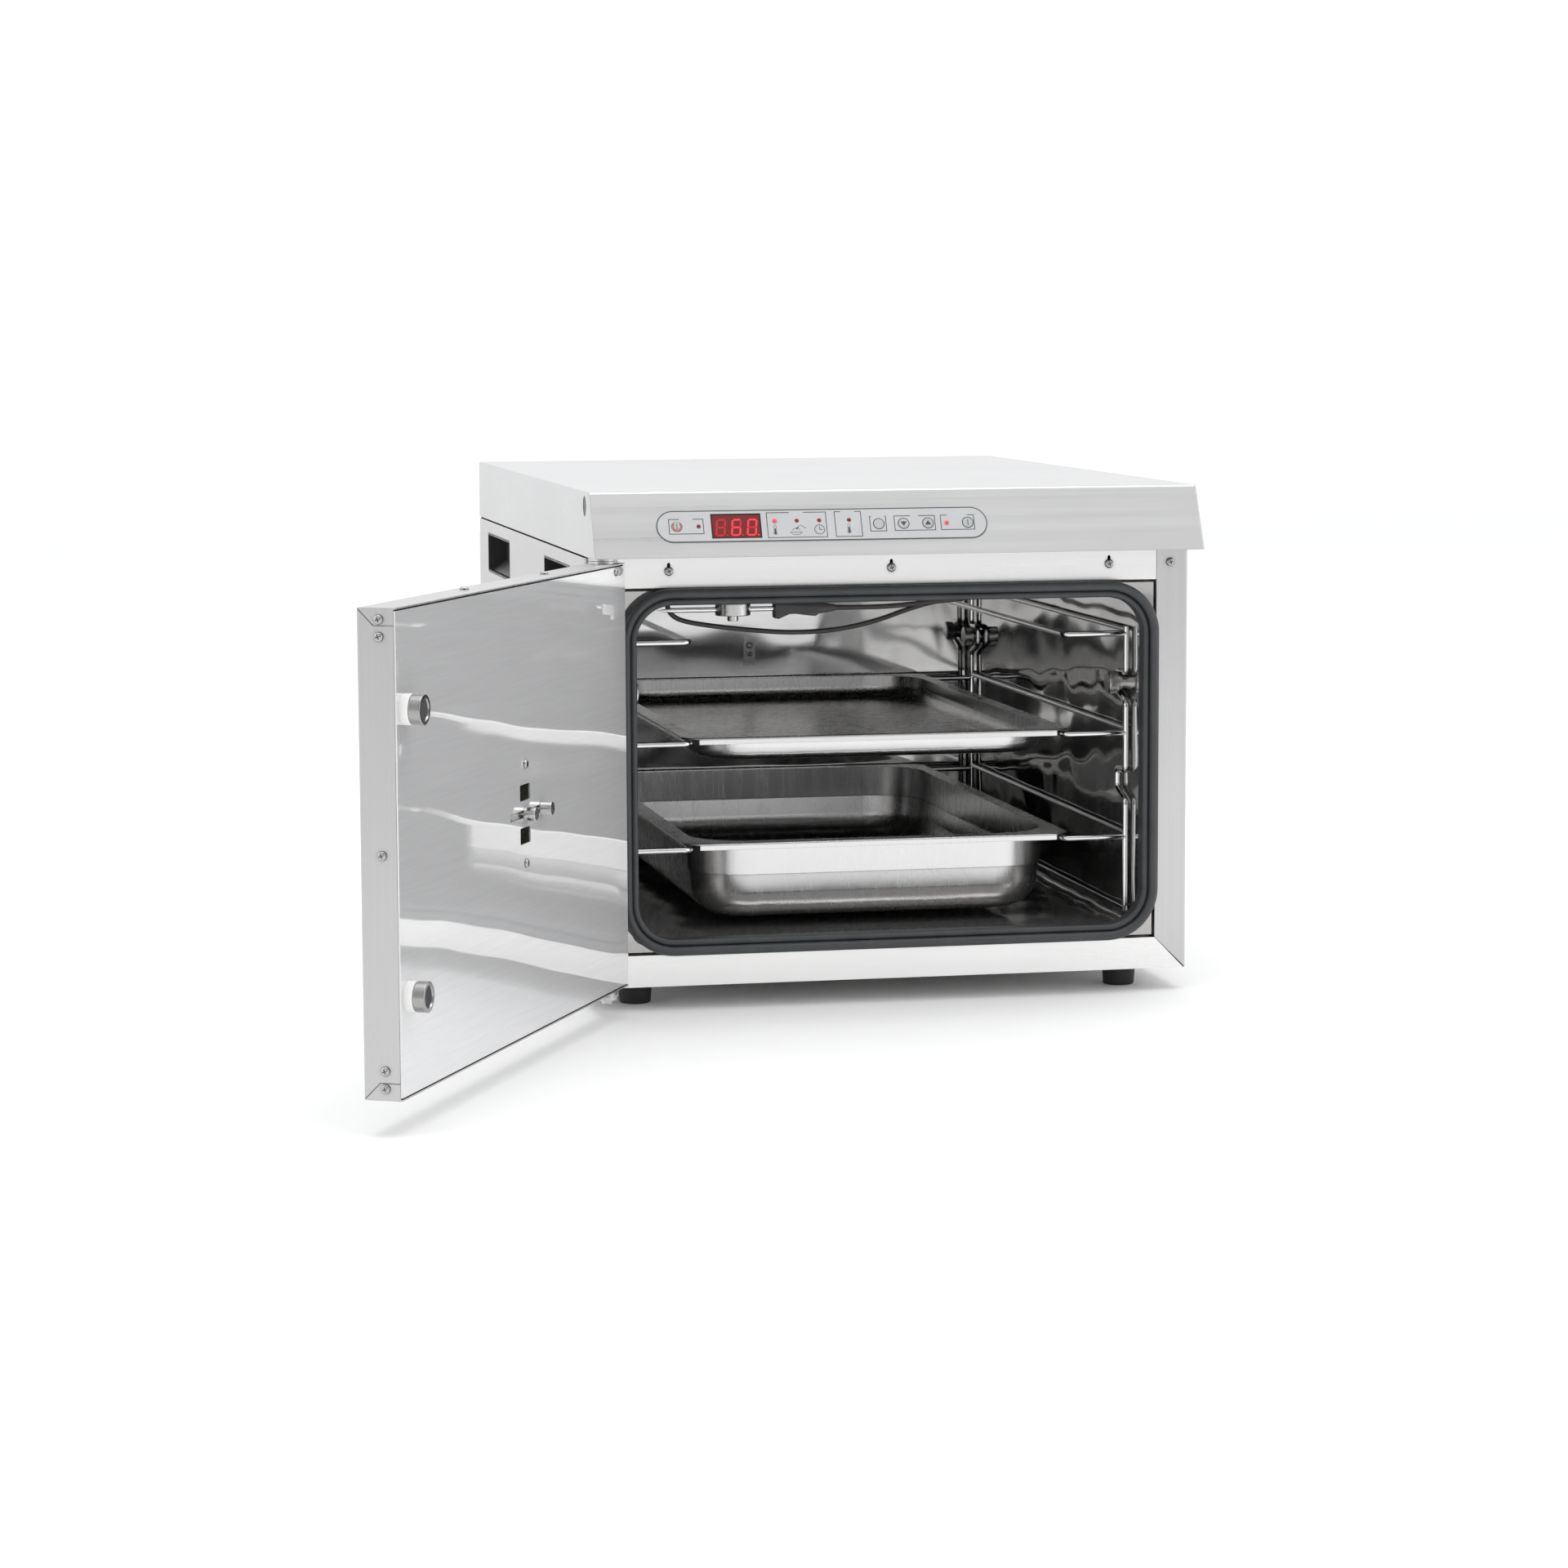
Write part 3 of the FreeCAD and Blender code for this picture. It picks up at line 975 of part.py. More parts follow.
def door_insulation():
    """Mineral wool between the skins, with a duct for the vent and room for the hinges and pull."""
    slab = block((-DOOR_HALF_WIDTH + 2, DOOR_OUTER_Y + SHEET + GAP, DOOR_BOTTOM + 3),
                 (DOOR_HALF_WIDTH - 2, DOOR_INNER_Y - SHEET - GAP, DOOR_TOP - 3))
    x = HINGE_X + VENT_ALONG
    duct = block((x - DUCT_HALF_WIDTH, DOOR_OUTER_Y - 1, VENT_HEIGHT - DUCT_HALF_HEIGHT),
                 (x + DUCT_HALF_WIDTH, DOOR_INNER_Y + 1, VENT_HEIGHT + DUCT_HALF_HEIGHT))
    hinge_room = block((-DOOR_HALF_WIDTH, DOOR_OUTER_Y - 1, 0),
                       (HINGE_X + HINGE_ROOM, DOOR_INNER_Y + 1, HEIGHT))
    return opened(cut(slab, [duct, hinge_room, door_grip_block(-1, DOOR_GRIP_DEPTH + 1, -1)]))


def hinge_bushes():
    """The door's two bearing bushes and the disc on its top edge."""
    room = PIN_RADIUS + 0.06
    bushes = [ring((HINGE_X, HINGE_Y, DOOR_TOP - SHEET - FIT), DOWN, BUSH_RADIUS, room, BUSH_LENGTH),
              ring((HINGE_X, HINGE_Y, DOOR_BOTTOM + SHEET + FIT), Z, BUSH_RADIUS, room, BUSH_LENGTH),
              ring((HINGE_X, HINGE_Y, DOOR_TOP + CLEAR), Z, DISC_RADIUS, room, DISC_THICK - FIT)]
    return opened(group(bushes))


def magnet_spacers():
    """White plastic discs that stand the magnets off the door's inner sheet."""
    return opened(group([rod(from_axis(MAGNET_ALONG, -CLEAR, z), Y, MAGNET_RADIUS, SPACER_THICK)
                         for z in MAGNET_HEIGHTS]))


def magnet_pots():
    """Two plated pot magnets, each a steel cup round a magnet face set back from its rim."""
    pots = []
    for z in MAGNET_HEIGHTS:
        x, y, _ = from_axis(MAGNET_ALONG, -SPACER_THICK - FIT, z)
        cup = rod((x, y, z), Y, MAGNET_RADIUS, POT_DEPTH)
        cup = cup.makeFillet(0.7, circles(cup))
        inner, outer, height = POT_RECESS
        face = cone((x, y + height, z), Y, inner, outer, 2)
        pots.append(cup.cut(face))
    return opened(group(pots))


def door_screws():
    """The door's pan-head screws: free edge, top and bottom returns, inner sheet and vent."""
    edge_x, edge_y = DOOR_HALF_WIDTH + CLEAR, DOOR_INNER_Y - EDGE_SCREW_DEPTH
    screws = [pan_head((edge_x, edge_y, z), X, *DOOR_SCREW) for z in EDGE_SCREWS_Z]
    for along in RETURN_SCREWS:
        x, y, top = from_axis(along, RETURN_SCREW_DEPTH, DOOR_TOP + CLEAR)
        screws.append(pan_head((x, y, top), Z, *DOOR_SCREW, 2.5))
        screws.append(pan_head((x, y, DOOR_BOTTOM - CLEAR), DOWN, *DOOR_SCREW, 2.5))
    screws.append(pan_head(from_axis(PANEL_SCREW[0], -CLEAR, PANEL_SCREW[1]), Y, DOOR_SCREW[0], 1.6, 3.5))
    for offset in (-VENT_SCREW_OFFSET, VENT_SCREW_OFFSET):
        screws.append(pan_head(from_axis(VENT_ALONG, -CLEAR, VENT_HEIGHT + offset), Y, *CASING_SCREW, 1.0))
    return opened(group(screws))


def vent_cover():
    """The outer vent plate on the door's front, with the same windows and slot, and two rivets."""
    x, z = HINGE_X + VENT_ALONG, VENT_HEIGHT
    wide, high, thick, corner = VENT_COVER
    face = DOOR_OUTER_Y - thick
    plate = rounded_block((x - wide, face, z - high), (x + wide, DOOR_OUTER_Y - CLEAR, z + high), corner, Y)
    plate = cut(plate, vent_openings(DOOR_OUTER_Y - 5, DOOR_OUTER_Y + 1))
    heads = [pan_head((x, face, z + s), BACKWARD, 3.0, 1.6, 1.5)
             for s in (-VENT_SCREW_OFFSET, VENT_SCREW_OFFSET)]
    return opened(fuse([plate] + heads))


# ---------------------------------------------------------------- vent shutter
def vent_shutter():
    """The sliding plate behind the inner sheet, with its windows and the studs that move it."""
    x, z = HINGE_X + VENT_ALONG, VENT_HEIGHT
    y1 = DOOR_INNER_Y - SHEET - SHUTTER_GAP
    past, high = SHUTTER_PAST, SHUTTER_HALF_HEIGHT
    plate = block((x - past[0], y1 - SHUTTER_SHEET, z - high), (x + past[1], y1, z + high))
    half_w, half_h = VENT_WINDOW[0] / 2, VENT_WINDOW[1] / 2
    windows = [rounded_block((x - half_w, y1 - 3, z + s - half_h),
                             (x + half_w, y1 + 3, z + s + half_h), 1.2, Y)
               for s in (-VENT_WINDOW_OFFSET, VENT_WINDOW_OFFSET)]
    studs = [rod((x - d, y1 - 0.9, z), Y, STUD_RADIUS, 5.0) for d in (0, VENT_POST_PITCH)]
    drive = rod((x, DOOR_OUTER_Y - 6, z), Y, STUD_RADIUS, y1 - DOOR_OUTER_Y + 5.2)
    return opened(fuse([cut(plate, windows)] + studs + [drive]))


def vent_posts():
    """The two steel barrel nuts on the shutter's studs, in front of the inner sheet."""
    posts = []
    for d in (0, VENT_POST_PITCH):
        x, y, z = from_axis(VENT_ALONG - d, -0.3, VENT_HEIGHT)
        post = rod((x, y, z), Y, *BARREL)
        rim = [e for e in circles(post) if e.CenterOfMass.y > y + 4]
        post = post.makeFillet(0.4, rim[:1])
        posts.append(post.cut(rod((x, y - 1, z), Y, STUD_RADIUS + FIT, 4.6)))
    return opened(group(posts))


def vent_knob():
    """The knurled knob outside the door that slides the shutter."""
    radius, length, off = KNOB
    x, y, z = HINGE_X + VENT_ALONG, DOOR_OUTER_Y - off, VENT_HEIGHT
    knob = rod((x, y, z), BACKWARD, radius, length)
    knob = knob.makeFillet(1.2, circles(knob))
    return opened(knob.cut(rod((x, y + 1, z), BACKWARD, STUD_RADIUS + FIT, 5.0)))


# ---------------------------------------------------------------- gastronorm pans
def rounded_wire(half_x, half_y, z, corner):
    """A rounded rectangle at a height, as a wire."""
    solid = rounded_block((-half_x, -half_y, z - 1), (half_x, half_y, z), corner, Z)
    top = [f for f in solid.Faces if abs(f.CenterOfMass.z - z) < 1e-6 and abs(f.normalAt(0, 0).z) > 0.99]
    return top[0].OuterWire


def pan_bowl(depth, inset):
    """The bowl's solid below the rim, tapered to its floor; a deep one has a stacking shoulder."""
    half_x, half_y = PAN_WIDTH / 2 - PAN_RIM - inset, PAN_LENGTH / 2 - PAN_RIM - inset
    corner = PAN_CORNER - inset
    low = -(depth - (PAN_SHEET if inset else 0.0))
    mouth = 2.0 if inset else 0.0
    taper = depth * BOWL_TAPER
    parts = []
    shoulder = depth * SHOULDER_SHARE - inset if depth > SHALLOW_DEPTH else 0.0
    if shoulder:
        parts.append(Part.makeLoft([rounded_wire(half_x, half_y, mouth, corner),
                                    rounded_wire(half_x - SHOULDER_LEAN, half_y - SHOULDER_LEAN, -shoulder,
                                                 corner - SHOULDER_LEAN)], True, True))
        half_x, half_y, corner = half_x - SHOULDER_STEP, half_y - SHOULDER_STEP, corner - SHOULDER_STEP
        mouth = 0.01 - shoulder
    lower = Part.makeLoft([rounded_wire(half_x, half_y, mouth, corner),
                           rounded_wire(half_x - taper, half_y - taper, low, corner - taper / 2)], True, True)
    floor_edges = [e for e in lower.Edges if abs(e.CenterOfMass.z - low) < 1e-3]
    parts.append(lower.makeFillet(min(PAN_FLOOR_BEND, depth * FLOOR_BEND_SHARE) - inset, floor_edges))
    return fuse(parts)


def gastronorm_pan(depth):
    """A pressed steel container, its flange flat along the sides and turned down at the ends."""
    half_x, half_y = PAN_WIDTH / 2, PAN_LENGTH / 2
    flange = rounded_block((-half_x, -half_y, -FLANGE_TURN), (half_x, half_y, PAN_SHEET), FLANGE_CORNER, Z)
    top = [e for e in flange.Edges if abs(e.CenterOfMass.z - PAN_SHEET) < 1e-6]
    flange = flange.makeFillet(FLANGE_BEND, top)
    past = -FLANGE_TURN - 1.4
    in_x, in_y = half_x - FLANGE_SHEET, half_y - FLANGE_SHEET
    under = rounded_block((-in_x, -in_y, past), (in_x, in_y, -FLANGE_UNDER), FLANGE_CORNER - FLANGE_SHEET, Z)
    side = half_x - PAN_END_LIP
    sides = [block((s * side if s > 0 else -PAN_WIDTH, -PAN_LENGTH, past),
                   (PAN_WIDTH if s > 0 else s * side, PAN_LENGTH, -FLANGE_UNDER)) for s in (-1, 1)]
    return cut(fuse([cut(flange, [under] + sides), pan_bowl(depth, 0.0)]), [pan_bowl(depth, PAN_SHEET)])


def placed_pan(depth, level):
    """A pan with its flange lying on a rack level, its turned-down edge outside the rails."""
    pan = gastronorm_pan(depth)
    pan.translate(FreeCAD.Vector(PAN_SIDE_PLAY, PAN_FRONT + PAN_LENGTH / 2, level + ROD_RADIUS + PAN_LIFT))
    return pan


# ---------------------------------------------------------------- writing the pieces
def nodes():
    """Every named piece, in the place where the assembly holds it."""
    made = {
        "top_cover": top_cover(),
        "cover_plug": cover_plug(),
        "side_panel_left": side_panel_left(),
        "side_panel_right": mirrored(side_panel_left()),
        "base_pan": base_pan(),
        "front_strip": front_strip(),
        "back_panel": back_panel(),
        "feet": group([foot(x, y) for x, y in FEET]),
        "cabinet_screws": cabinet_screws(),
        "cavity_shell": cavity_shell(),
        "cavity_back_wall": cavity_back_wall(),
        "door_gasket": door_gasket(),
        "rack_right": rack_right(),
        "rack_left": mirrored(rack_right()),
        "rack_studs": rack_studs(),
        "sensor_guard": sensor_guard(),
        "cavity_sensor": cavity_sensor(),
        "heating_mat": heating_mat(),
        "insulation_wrap": insulation_wrap(),
        "insulation_back": insulation_back(),
        "control_foil": control_foil(),
        "display_window": display_window(),
        "display_module": display_module(),
        "indicator_leds": indicator_leds(),
        "control_board": control_board(),
        "power_unit": power_unit(),
        "safety_thermostat": safety_thermostat(),
        "mains_inlet": mains_inlet(),
        "wiring_harness": wiring_harness(),
        "hinge_disc_fixed": hinge_disc_fixed(),
        "hinge_pin_top": hinge_pin_top(),
        "hinge_bracket_bottom": hinge_bracket_bottom(),
        "hinge_pin_bottom": hinge_pin_bottom(),
        "hinge_washers": hinge_washers(),
        "probe_holder": probe_holder(),
        "probe_gland": probe_gland(),
        "probe_needle": probe_needle(),
        "probe_handle": probe_handle(),
        "probe_cable": cable("probe_cable", CABLE_ROUTE, CABLE_RADIUS),
        "door_outer_skin": door_outer_skin(),
        "door_inner_panel": door_inner_panel(),
        "door_insulation": door_insulation(),
        "door_grip": door_grip(),
        "hinge_bushes": hinge_bushes(),
        "magnet_spacers": magnet_spacers(),
        "magnet_pots": magnet_pots(),
        "door_screws": door_screws(),
        "vent_cover": vent_cover(),
        "vent_shutter": vent_shutter(),
        "vent_posts": vent_posts(),
        "vent_knob": vent_knob(),
        "pan_shallow": placed_pan(SHALLOW_DEPTH, RACK_LEVELS[1]),
        "pan_deep": placed_pan(DEEP_DEPTH, RACK_LEVELS[0]),
    }
    for name, x in KEYS.items():
        made[name] = key(x)
    for side, word in ((-1, "left"), (1, "right")):
        made["grip_cups_" + word] = group([grip_cup(front, side) for front in GRIP_FRONTS])
    return made


os.makedirs("parts", exist_ok=True)
for node, shape in nodes().items():
    assert shape.isValid(), node
    shape.exportStep("parts/" + node + ".step")
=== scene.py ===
import math

import bmesh
import bpy
from mathutils import Matrix, Vector


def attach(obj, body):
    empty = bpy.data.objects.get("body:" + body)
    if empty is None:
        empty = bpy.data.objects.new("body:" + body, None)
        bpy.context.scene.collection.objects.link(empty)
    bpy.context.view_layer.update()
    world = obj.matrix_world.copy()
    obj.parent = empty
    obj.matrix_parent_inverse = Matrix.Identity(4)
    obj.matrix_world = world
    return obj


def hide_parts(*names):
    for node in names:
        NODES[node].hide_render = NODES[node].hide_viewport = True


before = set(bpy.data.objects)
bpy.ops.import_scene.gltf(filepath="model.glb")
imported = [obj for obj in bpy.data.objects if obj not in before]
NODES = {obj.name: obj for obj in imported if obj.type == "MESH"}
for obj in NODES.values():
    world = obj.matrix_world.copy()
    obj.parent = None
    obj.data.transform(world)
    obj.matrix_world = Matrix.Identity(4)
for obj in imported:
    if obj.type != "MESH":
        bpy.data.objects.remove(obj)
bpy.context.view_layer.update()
MM = 0.001


# ---------------------------------------------------------------- camera, floor and light
CAMERA_PLACE = (-0.7398, -3.1901, 0.5598)
CAMERA_TURN = (-6.671, 0.259, -11.553)          # tilt, roll and pan, in degrees
CAMERA_LENS = 94.07
CAMERA_SENSOR = 36.0
CAMERA_REACH = 60.0
FLOOR_SIZE = 14.0
FLOOR_WHITE = (0.93, 0.93, 0.93)
FLOOR_ROUGHNESS = 0.75
STUDIO_COLOR = (0.985, 0.99, 1.0)
STUDIO_WHITE = 1.2                              # the world's strength all round
STUDIO_DIM = 0.5                                # and in the direction behind the camera
DIM_TOWARDS = (-0.15, -1.0, 0.5)
DIM_CORE = 18.0                                 # fully dim up to this many degrees from it
DIM_EDGE = 58.0                                 # and not at all beyond these
LAMPS = (                                       # name, place, target, width and height, watts
    ("top_softbox", (0.0, -0.5, 3.2), (0, 0, 0), (3.0, 2.2), 42),
    ("left_panel", (-3.4, -1.2, 1.3), (0, -0.1, 0.2), (1.4, 1.8), 9),
    ("right_strip", (2.6, -1.9, 1.1), (0, 0, 0.2), (0.5, 1.8), 8),
)


def add_camera():
    data = bpy.data.cameras.new("camera")
    data.lens = CAMERA_LENS
    data.sensor_width = CAMERA_SENSOR
    data.clip_end = CAMERA_REACH
    obj = bpy.data.objects.new("camera", data)
    tilt, roll, pan = [math.radians(angle) for angle in CAMERA_TURN]
    turn = Matrix.Rotation(pan, 4, "Z") @ Matrix.Rotation(tilt, 4, "X") @ Matrix.Rotation(roll, 4, "Y")
    level = Matrix.Rotation(math.radians(90), 4, "X")
    obj.matrix_world = Matrix.Translation(CAMERA_PLACE) @ turn @ level
    bpy.context.scene.collection.objects.link(obj)
    bpy.context.scene.camera = obj


def add_area(name, place, target, size, power):
    data = bpy.data.lights.new(name, "AREA")
    data.shape = "RECTANGLE"
    data.size, data.size_y = size
    data.energy = power
    obj = bpy.data.objects.new(name, data)
    obj.location = place
    direction = Vector(target) - Vector(place)
    obj.rotation_euler = direction.to_track_quat("-Z", "Y").to_euler()
    bpy.context.scene.collection.objects.link(obj)


def add_floor():
    mesh = bpy.data.meshes.new("floor")
    half = FLOOR_SIZE / 2
    corners = [(-half, -half, 0), (half, -half, 0), (half, half, 0), (-half, half, 0)]
    mesh.from_pydata(corners, [], [(0, 1, 2, 3)])
    obj = bpy.data.objects.new("floor", mesh)
    bpy.context.scene.collection.objects.link(obj)
    paper = bpy.data.materials.new("floor_paper")
    paper.use_nodes = True
    shader = paper.node_tree.nodes["Principled BSDF"]
    shader.inputs["Base Color"].default_value = (*FLOOR_WHITE, 1)
    shader.inputs["Roughness"].default_value = FLOOR_ROUGHNESS
    mesh.materials.append(paper)


def add_world():
    """Bright all round, and dimmer behind the camera, as in a photographer's studio."""
    world = bpy.data.worlds.new("studio")
    world.use_nodes = True
    tree = world.node_tree
    background = tree.nodes["Background"]
    place = tree.nodes.new("ShaderNodeTexCoord")
    towards = tree.nodes.new("ShaderNodeVectorMath")
    towards.operation = "DOT_PRODUCT"
    towards.inputs[1].default_value = Vector(DIM_TOWARDS).normalized()
    dimming = tree.nodes.new("ShaderNodeMapRange")
    dimming.interpolation_type = "SMOOTHSTEP"
    dimming.inputs["From Min"].default_value = math.cos(math.radians(DIM_EDGE))
    dimming.inputs["From Max"].default_value = math.cos(math.radians(DIM_CORE))
    dimming.inputs["To Min"].default_value = STUDIO_WHITE
    dimming.inputs["To Max"].default_value = STUDIO_DIM
    tree.links.new(place.outputs["Generated"], towards.inputs[0])
    tree.links.new(towards.outputs["Value"], dimming.inputs["Value"])
    tree.links.new(dimming.outputs["Result"], background.inputs["Strength"])
    background.inputs["Color"].default_value = (*STUDIO_COLOR, 1)
    bpy.context.scene.world = world


def add_studio():
    add_camera()
    add_floor()
    add_world()
    for lamp in LAMPS:
        add_area(*lamp)
    view = bpy.context.scene.view_settings
    view.view_transform = "Standard"
    view.look = "None"


add_studio()


# ---------------------------------------------------------------- node-based materials
EDGE_SOFTNESS = 0.0006
TANGENT_NUDGE = (0.001, 0.0013, 0.0017)         # keeps the tangent off zero where a face looks along its grain
CREVICE_SPAN = (0.35, 0.85)                     # how open a place is, from full painted shade to none
AO_SAMPLES = 4
BEVEL_SAMPLES = 3
SCUFF_HAZE = 0.05                               # roughness that use adds to the cavity's floor
SCUFF_DULL = 0.18                               # and metallic that it takes away
SCUFF_FADE = 0.012                              # over this height up the walls
DOOR_LEAN = (0.0097, 0.0186, 0.0)               # 1.2 degrees, away from the free edge


class Shader:
    """A Principled material and short calls for the nodes that give it its detail."""

    def __init__(self, name, color, metallic, roughness):
        self.material = bpy.data.materials.new(name)
        self.material.use_nodes = True
        self.tree = self.material.node_tree
        self.main = self.tree.nodes["Principled BSDF"]
        self.color = color
        self.main.inputs["Base Color"].default_value = (*color, 1)
        self.main.inputs["Metallic"].default_value = metallic
        self.main.inputs["Roughness"].default_value = roughness
        coordinates = self.tree.nodes.new("ShaderNodeTexCoord")
        self.object_space = coordinates.outputs["Object"]

    def link(self, source, target):
        self.tree.links.new(source, target)

    def stretched(self, scale):
        mapping = self.tree.nodes.new("ShaderNodeMapping")
        mapping.inputs["Scale"].default_value = scale
        self.link(self.object_space, mapping.inputs["Vector"])
        return mapping.outputs["Vector"]

    def noise(self, scale, detail=3.0, stretch=None, rough=0.55):
        node = self.tree.nodes.new("ShaderNodeTexNoise")
        node.inputs["Scale"].default_value = scale
        node.inputs["Detail"].default_value = detail
        node.inputs["Roughness"].default_value = rough
        source = self.stretched(stretch) if stretch else self.object_space
        self.link(source, node.inputs["Vector"])
        return node.outputs["Fac"]

    def span(self, source, low, high, from_low=0.3, from_high=0.7):
        node = self.tree.nodes.new("ShaderNodeMapRange")
        node.inputs["From Min"].default_value = from_low
        node.inputs["From Max"].default_value = from_high
        node.inputs["To Min"].default_value = low
        node.inputs["To Max"].default_value = high
        self.link(source, node.inputs["Value"])
        return node.outputs["Result"]

    def math(self, operation, a, b):
        node = self.tree.nodes.new("ShaderNodeMath")
        node.operation = operation
        for socket, value in zip(node.inputs, (a, b)):
            if isinstance(value, (int, float)):
                socket.default_value = value
            else:
                self.link(value, socket)
        return node.outputs["Value"]

    def tint(self, source, low, high):
        """The base colour, from low times it to high times it as source goes from 0 to 1."""
        node = self.tree.nodes.new("ShaderNodeMix")
        node.data_type = "RGBA"
        self.link(source, node.inputs["Factor"])
        node.inputs["A"].default_value = (*[c * low for c in self.color], 1)
        node.inputs["B"].default_value = (*[min(c * high, 1) for c in self.color], 1)
        self.link(node.outputs["Result"], self.main.inputs["Base Color"])

    def brush(self, grain, spread):
        """Spreads reflections across the grain, on a surface facing any way."""
        self.main.inputs["Anisotropic"].default_value = spread
        along = self.tree.nodes.new("ShaderNodeVectorTransform")
        along.vector_type = "VECTOR"
        along.convert_from = "OBJECT"
        along.convert_to = "WORLD"
        along.inputs["Vector"].default_value = [float(axis == grain) for axis in "XYZ"]
        facing = self.tree.nodes.new("ShaderNodeNewGeometry")
        across = self.tree.nodes.new("ShaderNodeVectorMath")
        across.operation = "CROSS_PRODUCT"
        self.link(facing.outputs["Normal"], across.inputs[0])
        self.link(along.outputs["Vector"], across.inputs[1])
        nudged = self.tree.nodes.new("ShaderNodeVectorMath")
        nudged.operation = "ADD"
        nudged.inputs[1].default_value = TANGENT_NUDGE
        self.link(across.outputs["Vector"], nudged.inputs[0])
        self.link(nudged.outputs["Vector"], self.main.inputs["Tangent"])

    def paint_crevice_shade(self, reach, darkest):
        """Paints shade into a tinted colour, darker in narrow gaps, round screws and where sheets lap."""
        near = self.tree.nodes.new("ShaderNodeAmbientOcclusion")
        near.samples = AO_SAMPLES
        near.inputs["Distance"].default_value = reach
        shade = self.span(near.outputs["AO"], darkest, 1.0, *CREVICE_SPAN)
        mixed = self.tree.nodes.new("ShaderNodeMix")
        mixed.data_type = "RGBA"
        mixed.blend_type = "MULTIPLY"
        mixed.inputs["Factor"].default_value = 1.0
        self.link(self.main.inputs["Base Color"].links[0].from_socket, mixed.inputs["A"])
        self.link(shade, mixed.inputs["B"])
        self.link(mixed.outputs["Result"], self.main.inputs["Base Color"])

    def rough(self, source):
        self.link(source, self.main.inputs["Roughness"])

    def soften(self, radius):
        """Rounds the look of sharp edges, like a sheet's broken edge."""
        node = self.tree.nodes.new("ShaderNodeBevel")
        node.samples = BEVEL_SAMPLES
        node.inputs["Radius"].default_value = radius
        self.link(node.outputs["Normal"], self.main.inputs["Normal"])

    def bump(self, source, distance):
        """Adds a relief of this height, in metres, on top of those already there."""
        node = self.tree.nodes.new("ShaderNodeBump")
        node.inputs["Strength"].default_value = 1.0
        node.inputs["Distance"].default_value = distance
        self.link(source, node.inputs["Height"])
        previous = self.main.inputs["Normal"].links
        if previous:
            self.link(previous[0].from_socket, node.inputs["Normal"])
        self.link(node.outputs["Normal"], self.main.inputs["Normal"])


def scales(grain, along, across):
    """A texture's scale along one axis and across it, in features per metre."""
    return [along if axis == grain else across for axis in "XYZ"]


def brushed(name, grain, color, roughness=0.30, spread=0.7, uneven=None):
    """Satin stainless sheet: fine grain along one axis that spreads light across it, with longer,
    fainter streaks, hand marks and painted shade in its gaps. A pressed sheet is uneven as well."""
    shader = Shader(name, color, 1.0, roughness)
    shader.brush(grain, spread)
    lines = shader.noise(1.0, detail=2.0, stretch=scales(grain, 4.0, 1100.0), rough=0.7)
    streaks = shader.noise(1.0, detail=3.0, stretch=scales(grain, 1.6, 120.0), rough=0.6)
    marks = shader.noise(7.0, detail=4.0)
    mixed = shader.math("ADD", shader.math("MULTIPLY", lines, 0.5), shader.math("MULTIPLY", streaks, 0.5))
    shader.tint(shader.span(mixed, 0, 1), 0.95, 1.04)
    worn = shader.span(mixed, roughness - 0.05, roughness + 0.05)
    shader.rough(shader.math("ADD", worn, shader.span(marks, -0.02, 0.03)))
    # painted shade: the colour darkens in the gaps and round the screws
    shader.paint_crevice_shade(reach=0.0035, darkest=0.22)
    shader.soften(EDGE_SOFTNESS)
    shader.bump(lines, 0.000006)
    shader.bump(marks, 0.00025)
    if uneven is not None:
        shader.bump(shader.noise(5.0, detail=0.0), uneven)
    return shader.material


def mirror_sheet(name, color, roughness, haze, metallic, wave, wave_scale, floor=None, lean=None):
    """Bright-annealed sheet: a mirror with a slow waviness, faint rolling lines and a wiped haze.
    Below the floor's height it is scuffed by use, so it is paler and less of a mirror. A sheet that
    isn't seated quite true has a lean, its slope along each axis."""
    shader = Shader(name, color, metallic, roughness)
    waves = shader.noise(wave_scale, detail=1.0)
    if lean is not None:
        slope = shader.tree.nodes.new("ShaderNodeVectorMath")
        slope.operation = "DOT_PRODUCT"
        slope.inputs[1].default_value = [part / wave for part in lean]
        shader.link(shader.object_space, slope.inputs[0])
        waves = shader.math("ADD", waves, slope.outputs["Value"])
    rolling = shader.noise(1.0, detail=2.0, stretch=scales("Z", 420.0, 14.0))
    wiped = shader.noise(5.0, detail=5.0, stretch=scales("Z", 3.0, 1.0))
    gloss = shader.span(wiped, roughness, roughness + haze)
    if floor is not None:
        place = shader.tree.nodes.new("ShaderNodeSeparateXYZ")
        shader.link(shader.object_space, place.inputs[0])
        scuffed = shader.span(place.outputs["Z"], 1.0, 0.0, floor, floor + SCUFF_FADE)
        gloss = shader.math("ADD", gloss, shader.math("MULTIPLY", scuffed, SCUFF_HAZE))
        duller = shader.span(scuffed, metallic, metallic - SCUFF_DULL, 0, 1)
        shader.link(duller, shader.main.inputs["Metallic"])
    shader.rough(gloss)
    shader.tint(shader.span(rolling, 0, 1), 0.97, 1.02)
    shader.bump(waves, wave)
    return shader.material


def turned(name, color, roughness, crevice_shade=None):
    """Turned or drawn steel with fine machining lines and slight stains, and painted shade round a screw."""
    shader = Shader(name, color, 1.0, roughness)
    lines = shader.noise(1.0, detail=2.0, stretch=scales("X", 2600.0, 900.0))
    stains = shader.noise(140.0, detail=4.0)
    gloss = shader.span(lines, roughness - 0.05, roughness + 0.08)
    shader.rough(shader.math("ADD", gloss, shader.span(stains, 0, 0.06)))
    shader.tint(stains, 0.86, 1.05)
    if crevice_shade is not None:
        # painted shade round the screw's head and in its recess
        shader.paint_crevice_shade(reach=0.0025, darkest=crevice_shade)
    shader.bump(lines, 0.00002)
    return shader.material


